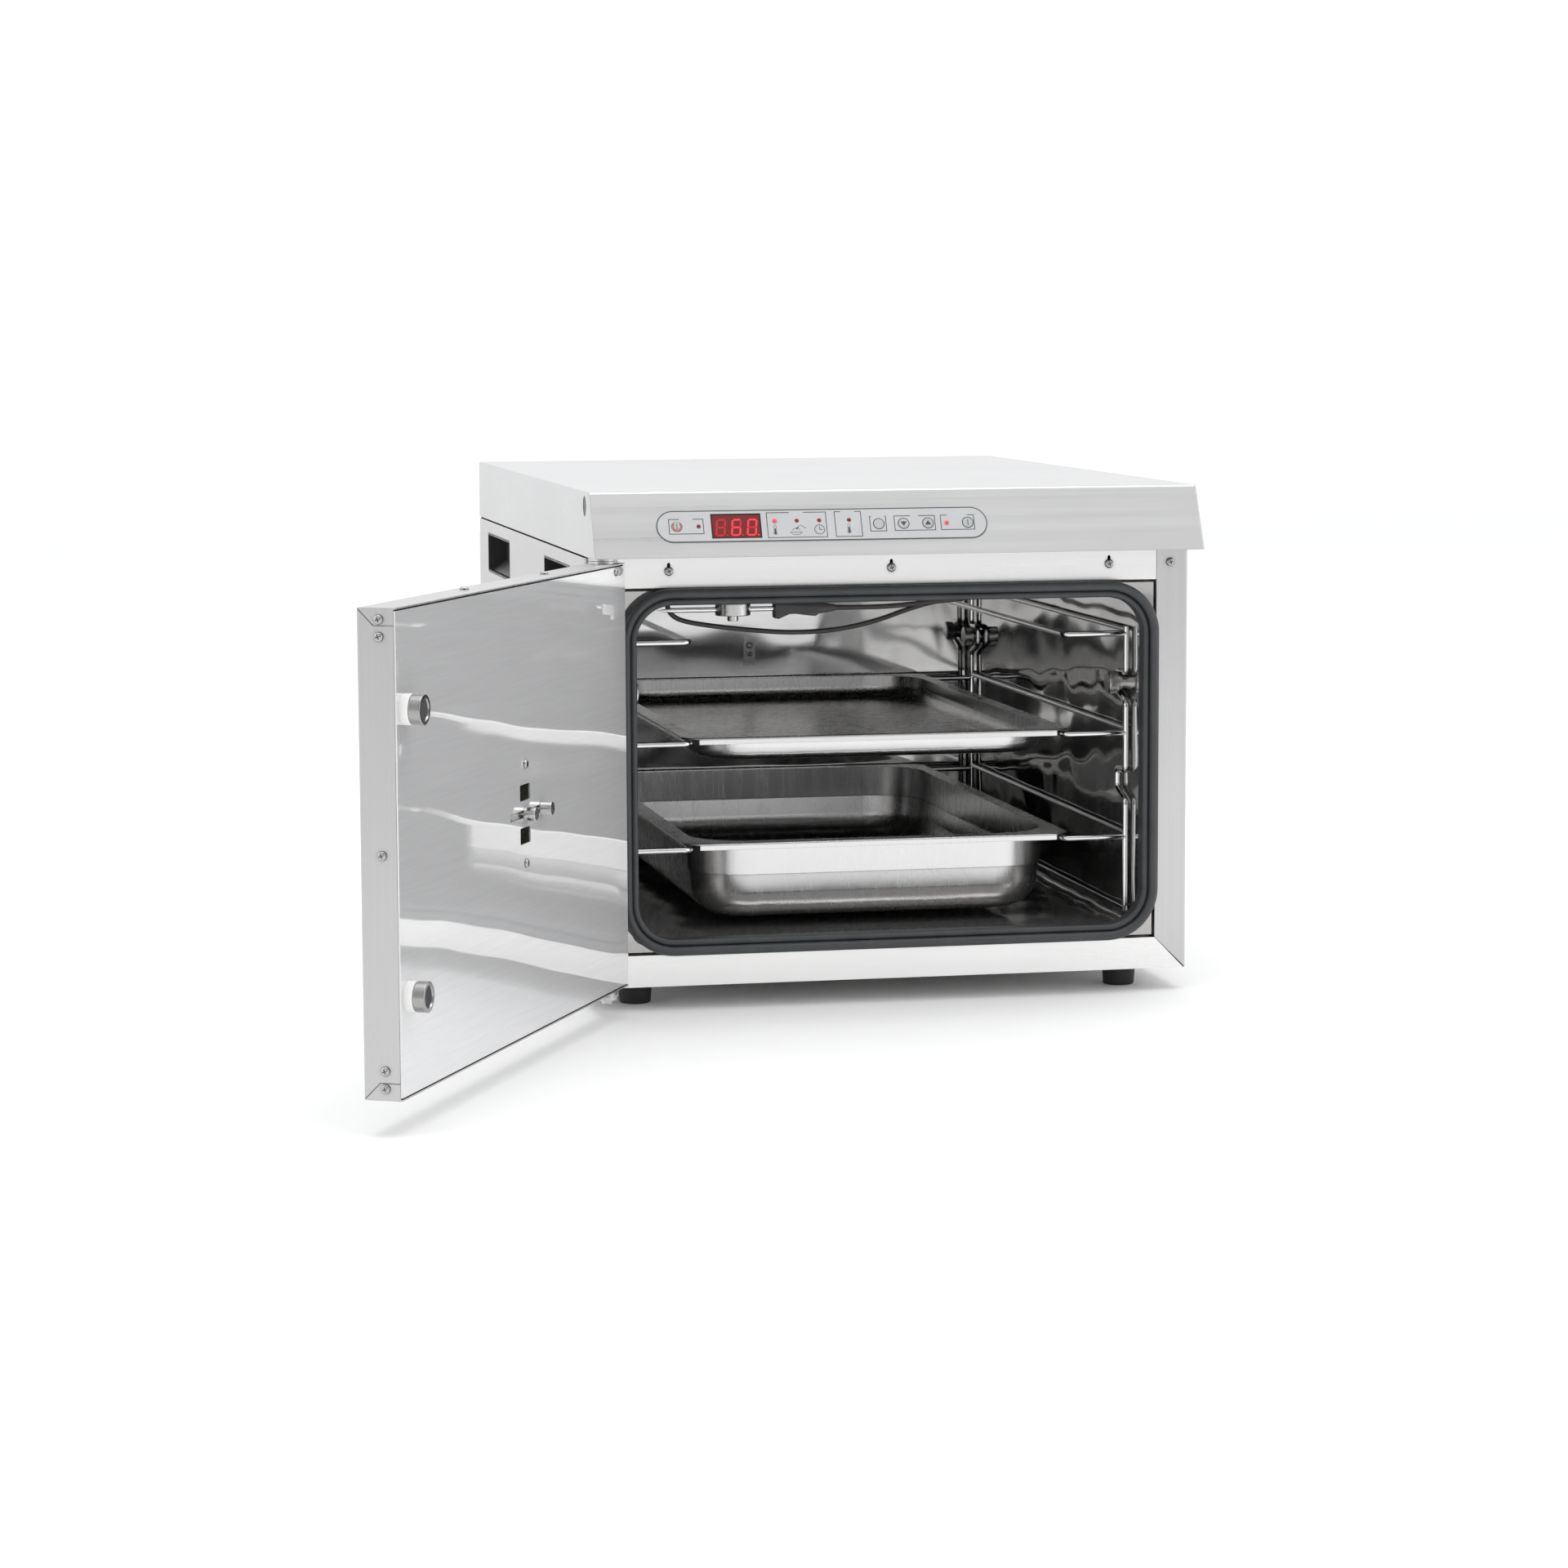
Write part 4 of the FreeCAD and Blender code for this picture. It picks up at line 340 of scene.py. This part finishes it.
def polished_rod(name, color, roughness):
    """Electropolished wire: bright, with a slight orange-peel ripple."""
    shader = Shader(name, color, 1.0, roughness)
    ripple = shader.noise(420.0, detail=2.0)
    wiped = shader.noise(60.0, detail=4.0)
    shader.rough(shader.span(wiped, roughness - 0.03, roughness + 0.06))
    shader.tint(ripple, 0.95, 1.02)
    shader.bump(ripple, 0.00006)
    return shader.material


def rubber(name, color, grain, roughness):
    """Silicone or rubber: fine grain, faint chalky dust and slightly uneven gloss."""
    shader = Shader(name, color, 0.0, roughness)
    fine = shader.noise(grain, detail=3.0)
    dusty = shader.noise(38.0, detail=6.0, rough=0.65)
    shader.tint(shader.span(dusty, 0, 1, 0.42, 0.78), 0.92, 1.35)
    shader.rough(shader.span(dusty, roughness - 0.08, roughness + 0.1))
    shader.bump(fine, 0.00004)
    return shader.material


def plastic(name, color, roughness, grain=1400.0, depth=0.00004):
    """Moulded plastic with a spark-eroded texture and slight gloss changes."""
    shader = Shader(name, color, 0.0, roughness)
    fine = shader.noise(grain, detail=2.0)
    soft = shader.noise(45.0, detail=4.0)
    shader.tint(soft, 0.93, 1.08)
    shader.rough(shader.span(soft, roughness - 0.05, roughness + 0.08))
    shader.bump(fine, depth)
    return shader.material


def film(name, color, roughness=0.4, grain=2600.0, depth=0.00001):
    """Printed film, ink or a thin smooth moulding: a plastic with hardly any texture."""
    return plastic(name, color, roughness, grain, depth)


def glowing(name, color, strength, base):
    """A lit lamp or display segment, with a slight grain in its unlit colour."""
    shader = Shader(name, base, 0.0, 0.35)
    shader.main.inputs["Emission Color"].default_value = (*color, 1)
    shader.main.inputs["Emission Strength"].default_value = strength
    shader.tint(shader.noise(900.0, detail=2.0), 0.8, 1.2)
    return shader.material


def wool(name, color):
    """Mineral wool: matted fibres in an uneven colour."""
    shader = Shader(name, color, 0.0, 0.95)
    fibres = shader.noise(1.0, detail=6.0, stretch=scales("X", 90.0, 420.0), rough=0.75)
    clumps = shader.noise(26.0, detail=5.0)
    shader.tint(shader.span(clumps, 0, 1), 0.75, 1.15)
    shader.bump(fibres, 0.0018)
    shader.bump(clumps, 0.004)
    return shader.material


STEEL_X = brushed("steel_grain_x", "X", (0.565, 0.565, 0.565))
STEEL_Z = brushed("steel_grain_z", "Z", (0.565, 0.56, 0.56))
DOOR_STEEL = brushed("door_steel", "Z", (0.50, 0.498, 0.495))
# painted light: much brighter than the other brushed steel, standing in for the lit floor reflected in the
# front strip and base rail
STEEL_RAIL_LIT = brushed("steel_rail_painted_light", "X", (0.90, 0.895, 0.885), roughness=0.24)
PAN_STEEL = brushed("pan_steel", "Z", (0.72, 0.715, 0.71), roughness=0.25, spread=0.5, uneven=0.003)
HEATER = brushed("heater_foil", "Y", (0.85, 0.84, 0.82), roughness=0.28, spread=0.3)
# painted shade: the same polished sheet as the back wall but darker, so the walls, roof and floor read as dark
# as their reflections
LINER_SHADED = mirror_sheet("liner_mirror_painted_shade", (0.47, 0.46, 0.45), roughness=0.04, haze=0.04, metallic=0.9,
                     wave=0.0042, wave_scale=10.0, floor=0.053)
LINER_BACK = mirror_sheet("liner_back_mirror", (0.70, 0.695, 0.69), roughness=0.05, haze=0.04, metallic=0.92,
                          wave=0.0036, wave_scale=9.0)
DOOR_MIRROR = mirror_sheet("door_mirror", (0.71, 0.71, 0.715), roughness=0.02, haze=0.02, metallic=0.4,
                           wave=0.003, wave_scale=4.5, lean=DOOR_LEAN)
ROD = polished_rod("rack_rod", (0.82, 0.82, 0.82), 0.1)
TURNED = turned("turned_steel", (0.60, 0.595, 0.585), 0.2)
# the screws' colour gets painted shade round their heads
SCREW = turned("screw_steel", (0.46, 0.455, 0.45), 0.2, crevice_shade=0.1)
PLATED = turned("plated_steel", (0.36, 0.355, 0.35), 0.12)
WHITE = plastic("white_nylon", (0.86, 0.86, 0.84), 0.42)
BLACK = plastic("black_polyamide", (0.018, 0.018, 0.02), 0.38)
FERRITE = plastic("magnet_face", (0.03, 0.03, 0.033), 0.7)
BOARD = plastic("board_green", (0.015, 0.12, 0.05), 0.45)
SEAL = rubber("seal_silicone", (0.045, 0.048, 0.05), 700.0, 0.48)
FOOT = rubber("foot_rubber", (0.009, 0.009, 0.0095), 500.0, 0.62)
GRIP = rubber("probe_silicone", (0.05, 0.047, 0.047), 800.0, 0.5)
CABLE = rubber("cable_silicone", (0.035, 0.032, 0.032), 900.0, 0.42)
FOIL = film("foil_grey", (0.50, 0.505, 0.515), roughness=0.36)
KEY = film("key_grey", (0.43, 0.435, 0.44), roughness=0.42, grain=2200.0, depth=0.00002)
INK = film("ink_grey", (0.045, 0.048, 0.055))
INK_RED = film("ink_red", (0.45, 0.02, 0.03))
INK_GREEN = film("ink_green", (0.07, 0.22, 0.14))
WINDOW = film("display_red", (0.022, 0.004, 0.005), roughness=0.3, depth=0.000005)
LAMP_OFF = film("lamp_off", (0.23, 0.012, 0.016), roughness=0.25, grain=1200.0)
WINDOW_GLOW = glowing("display_glow", (0.6, 0.005, 0.01), 0.12, (0.10, 0.003, 0.005))
SEGMENT_LIT = glowing("segment_lit", (1.0, 0.045, 0.07), 0.80, (0.3, 0.01, 0.015))
SEGMENT_DIM = glowing("segment_dim", (0.9, 0.012, 0.02), 0.38, (0.2, 0.008, 0.01))
LAMP_LIT = glowing("lamp_lit", (1.0, 0.06, 0.10), 0.62, (0.55, 0.03, 0.05))
WOOL = wool("mineral_wool", (0.72, 0.69, 0.58))

FINISHES = {
    "top_cover": STEEL_X, "front_strip": STEEL_RAIL_LIT, "base_pan": STEEL_RAIL_LIT, "back_panel": STEEL_X,
    "side_panel_left": STEEL_Z, "side_panel_right": STEEL_Z, "vent_cover": STEEL_Z,
    "door_outer_skin": DOOR_STEEL, "door_inner_panel": DOOR_MIRROR,
    "cavity_shell": LINER_SHADED, "cavity_back_wall": LINER_BACK, "cavity_sensor": TURNED, "sensor_guard": PLATED,
    "vent_shutter": TURNED, "vent_posts": TURNED, "vent_knob": TURNED,
    "pan_shallow": PAN_STEEL, "pan_deep": PAN_STEEL,
    "rack_left": ROD, "rack_right": ROD, "rack_studs": TURNED,
    "probe_needle": ROD, "probe_holder": TURNED, "probe_gland": BLACK, "probe_handle": GRIP,
    "probe_cable": CABLE, "wiring_harness": CABLE,
    "hinge_disc_fixed": TURNED, "hinge_pin_top": TURNED, "hinge_bracket_bottom": TURNED,
    "hinge_pin_bottom": TURNED, "hinge_washers": TURNED, "hinge_bushes": TURNED,
    "cabinet_screws": SCREW, "door_screws": SCREW, "magnet_pots": PLATED, "magnet_spacers": WHITE,
    "cover_plug": BLACK, "grip_cups_left": BLACK, "grip_cups_right": BLACK, "mains_inlet": BLACK,
    "door_grip": BLACK, "safety_thermostat": BLACK, "door_gasket": SEAL, "feet": FOOT,
    "control_foil": FOIL, "display_window": WINDOW, "display_module": BLACK, "indicator_leds": LAMP_OFF,
    "control_board": BOARD, "power_unit": BOARD, "heating_mat": HEATER,
    "insulation_wrap": WOOL, "insulation_back": WOOL, "door_insulation": WOOL,
    "key_power": KEY, "key_select": KEY, "key_down": KEY, "key_up": KEY, "key_start": KEY,
}


def finish_nodes():
    for name, obj in NODES.items():
        for slot in obj.material_slots:
            slot.link = "OBJECT"
            slot.material = FINISHES[name]


finish_nodes()


# ---------------------------------------------------------------- the probe's cable
CABLE_ROUTE = (
    (-172.0, 57.5, 326.0), (-171.5, 57.7, 317.4), (-166.6, 59.0, 310.4), (-157.2, 61.2, 306.2),
    (-139.0, 64.5, 302.5), (-104.0, 68.0, 297.7), (-66.0, 71.5, 294.2), (-27.0, 77.0, 295.4),
    (8.0, 85.0, 301.6), (40.0, 94.5, 311.4), (65.0, 96.5, 317.0), (79.5, 82.5, 320.0),
    (79.5, 62.0, 321.0), (65.0, 49.0, 320.6), (42.0, 47.0, 319.0), (14.0, 45.4, 316.6),
    (-11.0, 45.0, 316.0), (-36.0, 45.0, 316.4),
)
CABLE_DIAMETER = 0.004
CABLE_SIDES = 6                                 # of a quarter of its section, and steps between points
CABLE_STEPS = 16


def add_cable():
    data = bpy.data.curves.new("probe_lead", "CURVE")
    data.dimensions = "3D"
    data.bevel_depth = CABLE_DIAMETER / 2
    data.bevel_resolution = CABLE_SIDES
    data.resolution_u = CABLE_STEPS
    data.use_fill_caps = True
    spline = data.splines.new("NURBS")
    spline.points.add(len(CABLE_ROUTE) - 1)
    for point, place in zip(spline.points, CABLE_ROUTE):
        point.co = (*[v * MM for v in place], 1)
    spline.order_u = 3
    spline.use_endpoint_u = True
    data.materials.append(CABLE)
    obj = bpy.data.objects.new("probe_lead", data)
    bpy.context.scene.collection.objects.link(obj)
    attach(obj, "cabinet")
    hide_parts("probe_cable")


add_cable()

# ---------------------------------------------------------------- drawing on the control panel
FASCIA_FOOT = Vector((0, -47.0, 364.0))
FASCIA_UP = Vector((0, 25, 51)).normalized()
FASCIA_OUT = Vector((0, -51, 25)).normalized()
FOIL_MIDDLE = 26.4
INK_THICK = 0.04
SHARPEST_MITRE = 0.3                            # a corner reaches out by no more than 1 / 0.3 of half a width


def on_panel(across, up, out):
    """A place on the control panel in metres, from millimetres across, up from its middle and out."""
    return (FASCIA_FOOT + Vector((across, 0, 0)) + FASCIA_UP * (FOIL_MIDDLE + up) + FASCIA_OUT * out) * MM


def top_of(node):
    """How far a node stands out of the fascia, in millimetres."""
    return max((v.co / MM - FASCIA_FOOT).dot(FASCIA_OUT) for v in NODES[node].data.vertices)


def loft(bm, rings):
    """Joins rings of places, in metres, into one skin closed at both ends."""
    rings = [[bm.verts.new(place) for place in ring] for ring in rings]
    for low, high in zip(rings, rings[1:]):
        for i in range(len(low)):
            j = (i + 1) % len(low)
            bm.faces.new((low[i], low[j], high[j], high[i]))
    bm.faces.new(rings[0])
    bm.faces.new(rings[-1])


def make_piece(name, bm, material, body, smooth=False):
    """Ends a mesh and puts it in the model, riding on a body."""
    mesh = bpy.data.meshes.new(name)
    bmesh.ops.recalc_face_normals(bm, faces=bm.faces)
    bm.to_mesh(mesh)
    bm.free()
    for face in mesh.polygons:
        face.use_smooth = smooth
    mesh.materials.append(material)
    obj = bpy.data.objects.new(name, mesh)
    bpy.context.scene.collection.objects.link(obj)
    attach(obj, body)


def add_plate(bm, outline, low):
    """A flat shape on the panel, given by its outline, raised by the ink's thickness."""
    loft(bm, [[on_panel(across, up, out) for across, up in outline] for out in (low, low + INK_THICK)])


def add_stroke(bm, line, width, low, closed=False):
    """A line of one width with mitred corners, as a chain of plates."""
    count = len(line)
    sides = []
    for i, place in enumerate(line):
        here = Vector(place)
        before = Vector(line[i - 1]) if closed or i else None
        after = Vector(line[(i + 1) % count]) if closed or i < count - 1 else None
        first = (here - before).normalized() if before is not None else (after - here).normalized()
        second = (after - here).normalized() if after is not None else first
        across = Vector((-first.y - second.y, first.x + second.x)).normalized()
        reach = width / 2 / max(across.dot(Vector((-first.y, first.x))), SHARPEST_MITRE)
        sides.append((here + across * reach, here - across * reach))
    for i in range(count if closed else count - 1):
        (a, b), (c, d) = sides[i], sides[(i + 1) % count]
        add_plate(bm, (a, c, d, b), low)


def arc(x, y, radius, start, end, steps=24):
    turns = [math.radians(start + (end - start) * i / steps) for i in range(steps + 1)]
    return [(x + radius * math.cos(turn), y + radius * math.sin(turn)) for turn in turns]


def disc(x, y, radius, steps=32):
    return arc(x, y, radius, 0, 360, steps)[:-1]


def box(x0, y0, x1, y1):
    return [(x0, y0), (x1, y0), (x1, y1), (x0, y1)]


def hour_marks(width, inner, outer):
    turns = [hour * 30 for hour in range(12)]
    return [(width, [arc(0, 0, radius, turn, turn, 1)[0] for radius in (inner, outer)]) for turn in turns]


# A sign is a list of lines, each with its width, and of filled shapes, which have none. All places on the
# panel are in millimetres, across from the cabinet's middle and up from the foil's.
THERMOMETER = [
    (0.3, arc(0, -1.0, 1.0, 0, 180, 8) + [(-1.0, -5.4)] + arc(0, -6.6, 1.45, 125, 415, 16) + [(1.0, -1.0)]),
    (None, box(-0.55, -6.0, 0.55, -2.6)),
    (None, disc(0, -6.6, 1.0, 16)),
]
ROAST = [                                       # on its dish, with a probe in it and the probe's lead
    (0.35, arc(0, -6.3, 3.4, 158, 22, 12)),
    (0.35, [(-5.0, -6.3), (5.0, -6.3)]),
    (0.35, [(-4.6, -6.5), (-2.4, -8.3), (2.4, -8.3), (4.6, -6.5)]),
    (0.9, [(0, -3.9), (1.9, -1.8)]),
    (0.35, [(1.9, -1.8), (3.1, -0.7), (4.4, -0.5), (5.6, -1.6), (6.9, -2.8), (8.4, -2.7)]),
]
CLOCK_RING = 4.0
CLOCK = [*hour_marks(0.3, 2.9, 3.5), (0.5, [(0, 2.7), (0, 0), (2.5, -0.1)])]
CLOCK_AT = (-65.8, -4.1)
SIGNS = ((THERMOMETER, (-101.4, 0.0)), (THERMOMETER, (-42.0, 0.4)), (ROAST, (-84.6, 0.3)), (CLOCK, CLOCK_AT))
CAPSULE = (-195.35, 70.05, 12.95)               # left and right end and half height
FRAMES = (                                      # left, right, low, high, and the gap in the top line
    (-185.7, -158.4, -6.2, 6.2, -177.3, -166.5), (-107.4, -59.9, -10.4, 10.7, -89.3, -77.9),
    (-52.8, -31.7, -10.4, 10.8, -47.9, -36.5), (-24.7, -11.8, -6.2, 6.3, -23.6, -12.8),
    (-4.9, 27.9, -6.0, 6.4, 8.4, 14.9), (32.7, 59.8, -5.9, 6.5, 37.9, 54.5),
)
CAPSULE_LINE = 0.75
FRAME_LINE = 0.6
CLOCK_LINE = 0.45
RING_LINE = 0.4
RING = 4.55                                     # radius of the ring round a key
KEYS = {"power": -179.5, "select": -17.7, "down": 2.4, "up": 22.2, "start": 54.6}
POWER_ARCS = ((3.75, -235, 55, 32, 0.45), (2.9, -225, 45, 28, 0.6))    # radius, from, to, steps, width
BAR = (0.4, -2.3, 2.5)                          # half its width, its foot and its top
ARROW = (2.4, -1.5, 2.3)                        # the same, for an arrow that points up


def draw_sign(bm, sign, at, low):
    for width, shape in sign:
        outline = [(at[0] + x, at[1] + y) for x, y in shape]
        if width is None:
            add_plate(bm, outline, low)
        else:
            add_stroke(bm, outline, width, low)


def add_panel_print():
    foil = top_of("control_foil")
    bm = bmesh.new()
    left, right, half = CAPSULE
    outline = arc(right - half, 0, half, -90, 90) + arc(left + half, 0, half, 90, 270)
    add_stroke(bm, outline, CAPSULE_LINE, foil, closed=True)
    for x0, x1, low, high, gap0, gap1 in FRAMES:
        frame_line = [(gap0, high), (x0, high), (x0, low), (x1, low), (x1, high), (gap1, high)]
        add_stroke(bm, frame_line, FRAME_LINE, foil)
    for key in ("select", "down", "up", "start"):
        add_stroke(bm, disc(KEYS[key], 0, RING), RING_LINE, foil, closed=True)
    add_stroke(bm, disc(*CLOCK_AT, CLOCK_RING), CLOCK_LINE, foil, closed=True)
    for sign, at in SIGNS:
        draw_sign(bm, sign, at, foil)
    make_piece("panel_print", bm, INK, "cabinet")


def add_key_prints():
    top = top_of("key_power")
    rings = bmesh.new()
    for radius, start, end, steps, width in POWER_ARCS:
        add_stroke(rings, arc(KEYS["power"], 0, radius, start, end, steps), width, top)
    make_piece("power_key_ring", rings, INK_RED, "power_key")
    half, foot, head = BAR
    for key in ("power", "start"):
        bar = bmesh.new()
        add_plate(bar, box(KEYS[key] - half, foot, KEYS[key] + half, head), top)
        make_piece(f"{key}_key_bar", bar, INK_GREEN, f"{key}_key")
    half, foot, head = ARROW
    for key, way in (("down", -1), ("up", 1)):
        sign = bmesh.new()
        x = KEYS[key]
        add_plate(sign, [(x - half, foot * way), (x + half, foot * way), (x, head * way)], top)
        make_piece(f"{key}_key_sign", sign, INK, f"{key}_key")


DIGITS = ((-144.7, ""), (-132.3, "afgedc"), (-119.7, "abcdef"))     # middle of each and its lit segments
DIGIT_SIZE = (6.6, 13.0)
DIGIT_MIDDLE = -1.3
DIGIT_SLANT = 0.13
DOT = (1.5, 0.7)                                # its gap beside the digit and its radius
GLOW = (-151.0, -9.5, -113.5, 8.9)
SEGMENT = 1.5
SEGMENT_GAP = 0.18
SEGMENTS = {"a": ((0, 1), (1, 1)), "b": ((1, 1), (1, 0.5)), "c": ((1, 0.5), (1, 0)), "d": ((0, 0), (1, 0)),
            "e": ((0, 0.5), (0, 0)), "f": ((0, 1), (0, 0.5)), "g": ((0, 0.5), (1, 0.5))}


def segment_outline(middle, name):
    """One bar of a digit, pointed at both ends and slanted with the digit."""
    width, height = DIGIT_SIZE
    start, end = [Vector(((u - 0.5) * width, (v - 0.5) * height)) for u, v in SEGMENTS[name]]
    along = (end - start).normalized()
    across = Vector((-along.y, along.x)) * SEGMENT / 2
    tip = along * SEGMENT / 2
    start, end = start + along * SEGMENT_GAP, end - along * SEGMENT_GAP
    flat = [start, start + tip + across, end - tip + across, end, end - tip - across, start + tip - across]
    return [(middle + place.x + place.y * DIGIT_SLANT, DIGIT_MIDDLE + place.y) for place in flat]


def add_display():
    window = top_of("display_window")
    glow = bmesh.new()
    add_plate(glow, box(*GLOW), window)
    make_piece("display_glow", glow, WINDOW_GLOW, "cabinet")
    lit, dim = bmesh.new(), bmesh.new()
    gap, radius = DOT
    for middle, on in DIGITS:
        for name in SEGMENTS:
            add_plate(lit if name in on else dim, segment_outline(middle, name), window + INK_THICK)
        dot = disc(middle + DIGIT_SIZE[0] / 2 + gap, DIGIT_MIDDLE - DIGIT_SIZE[1] / 2, radius, 12)
        add_plate(lit if middle == DIGITS[-1][0] else dim, dot, window + INK_THICK)
    make_piece("digits_lit", lit, SEGMENT_LIT, "cabinet")
    make_piece("digits_dim", dim, SEGMENT_DIM, "cabinet")


LIT_LAMPS = ((-101.3, 3.7), (37.5, 0.0))
LENS = ((1.72, 0.0), (1.55, 0.22), (1.05, 0.42), (0.45, 0.52))         # radius and height of its rings
LENS_SIDES = 20


def add_lit_lamps():
    """The domed lenses of the two lamps that are on."""
    base = top_of("indicator_leds")
    bm = bmesh.new()
    for x, y in LIT_LAMPS:
        loft(bm, [[on_panel(across, up, base + rise) for across, up in disc(x, y, radius, LENS_SIDES)]
                  for radius, rise in LENS])
    make_piece("lamps_lit", bm, LAMP_LIT, "cabinet", smooth=True)


add_panel_print()
add_key_prints()
add_display()
add_lit_lamps()


# ---------------------------------------------------------------- knurling and magnet faces
HINGE_AXIS = Vector((-237.4, -30.3, 0))
DOOR_TURN = Matrix.Rotation(math.radians(-117.5), 3, "Z")
KNURL_DEPTH = 0.35
KNURL_CHAMFER = 0.8
STUD_ACROSS = 201.0
STUD_Y = (57.0, 545.0)
STUD_HEIGHT = 249.0
STUD_KNURL = (9.25, 7.2, 40)                    # radius, length and number of teeth
KNOB_AT = (229.4, -51.9, 191.2)                 # along the closed door from its hinge, back, and up
KNOB_KNURL = (8.75, 10.0, 44)
MAGNET_ALONG = 469.0
MAGNET_FACE_Y = -15.2 + 6.35 + 7.32             # just above the bottom of the pot's recess
MAGNET_HEIGHTS = (95.5, 291.0)
MAGNET_SIDES = 40
MAGNET_PROFILE = ((7.3, 0.0), (7.3, 0.16), (7.15, 0.22), (1.6, 0.22), (1.2, 0.1))   # radius and height


def on_open_door(along, y, z):
    """A place on the door as it stands open, from where it is on the closed door."""
    return DOOR_TURN @ Vector((along, y - HINGE_AXIS.y, 0)) + HINGE_AXIS + Vector((0, 0, z))


def ring_about(middle, axis, side, rise, radii):
    """Places round an axis, one for each radius, the first of them in the direction called side."""
    over = axis.cross(side)
    places = []
    for i, radius in enumerate(radii):
        turn = 2 * math.pi * i / len(radii)
        places.append((middle + axis * rise + (side * math.cos(turn) + over * math.sin(turn)) * radius) * MM)
    return places


def add_knurl(bm, middle, axis, radius, length, teeth):
    """A straight-knurled sleeve: a toothed ring pushed along its axis, drawn in at both ends."""
    side = axis.cross(Vector((0, 0, 1))).normalized()
    drawn_in = [radius - KNURL_CHAMFER] * (4 * teeth)
    toothed = [radius - KNURL_DEPTH, radius - KNURL_DEPTH, radius, radius] * teeth
    end = length / 2
    loft(bm, [ring_about(middle, axis, side, rise, radii) for rise, radii in (
        (-end, drawn_in), (-end + KNURL_CHAMFER, toothed), (end - KNURL_CHAMFER, toothed), (end, drawn_in))])


def add_knurls():
    studs = bmesh.new()
    for across in (-STUD_ACROSS, STUD_ACROSS):
        for y in STUD_Y:
            add_knurl(studs, Vector((across, y, STUD_HEIGHT)), Vector((1, 0, 0)), *STUD_KNURL)
    make_piece("stud_knurls", studs, TURNED, "cabinet")
    knob = bmesh.new()
    add_knurl(knob, on_open_door(*KNOB_AT), DOOR_TURN @ Vector((0, -1, 0)), *KNOB_KNURL)
    make_piece("knob_knurl", knob, TURNED, "vent")


def add_magnet_faces():
    """The dark magnet set back inside the rim of each plated pot, with a dimple at its middle."""
    axis = DOOR_TURN @ Vector((0, 1, 0))
    side = axis.orthogonal().normalized()
    faces = bmesh.new()
    for height in MAGNET_HEIGHTS:
        middle = on_open_door(MAGNET_ALONG, MAGNET_FACE_Y, height)
        loft(faces, [ring_about(middle, axis, side, rise, [radius] * MAGNET_SIDES)
                     for radius, rise in MAGNET_PROFILE])
    make_piece("magnet_faces", faces, FERRITE, "door")


add_knurls()
add_magnet_faces()
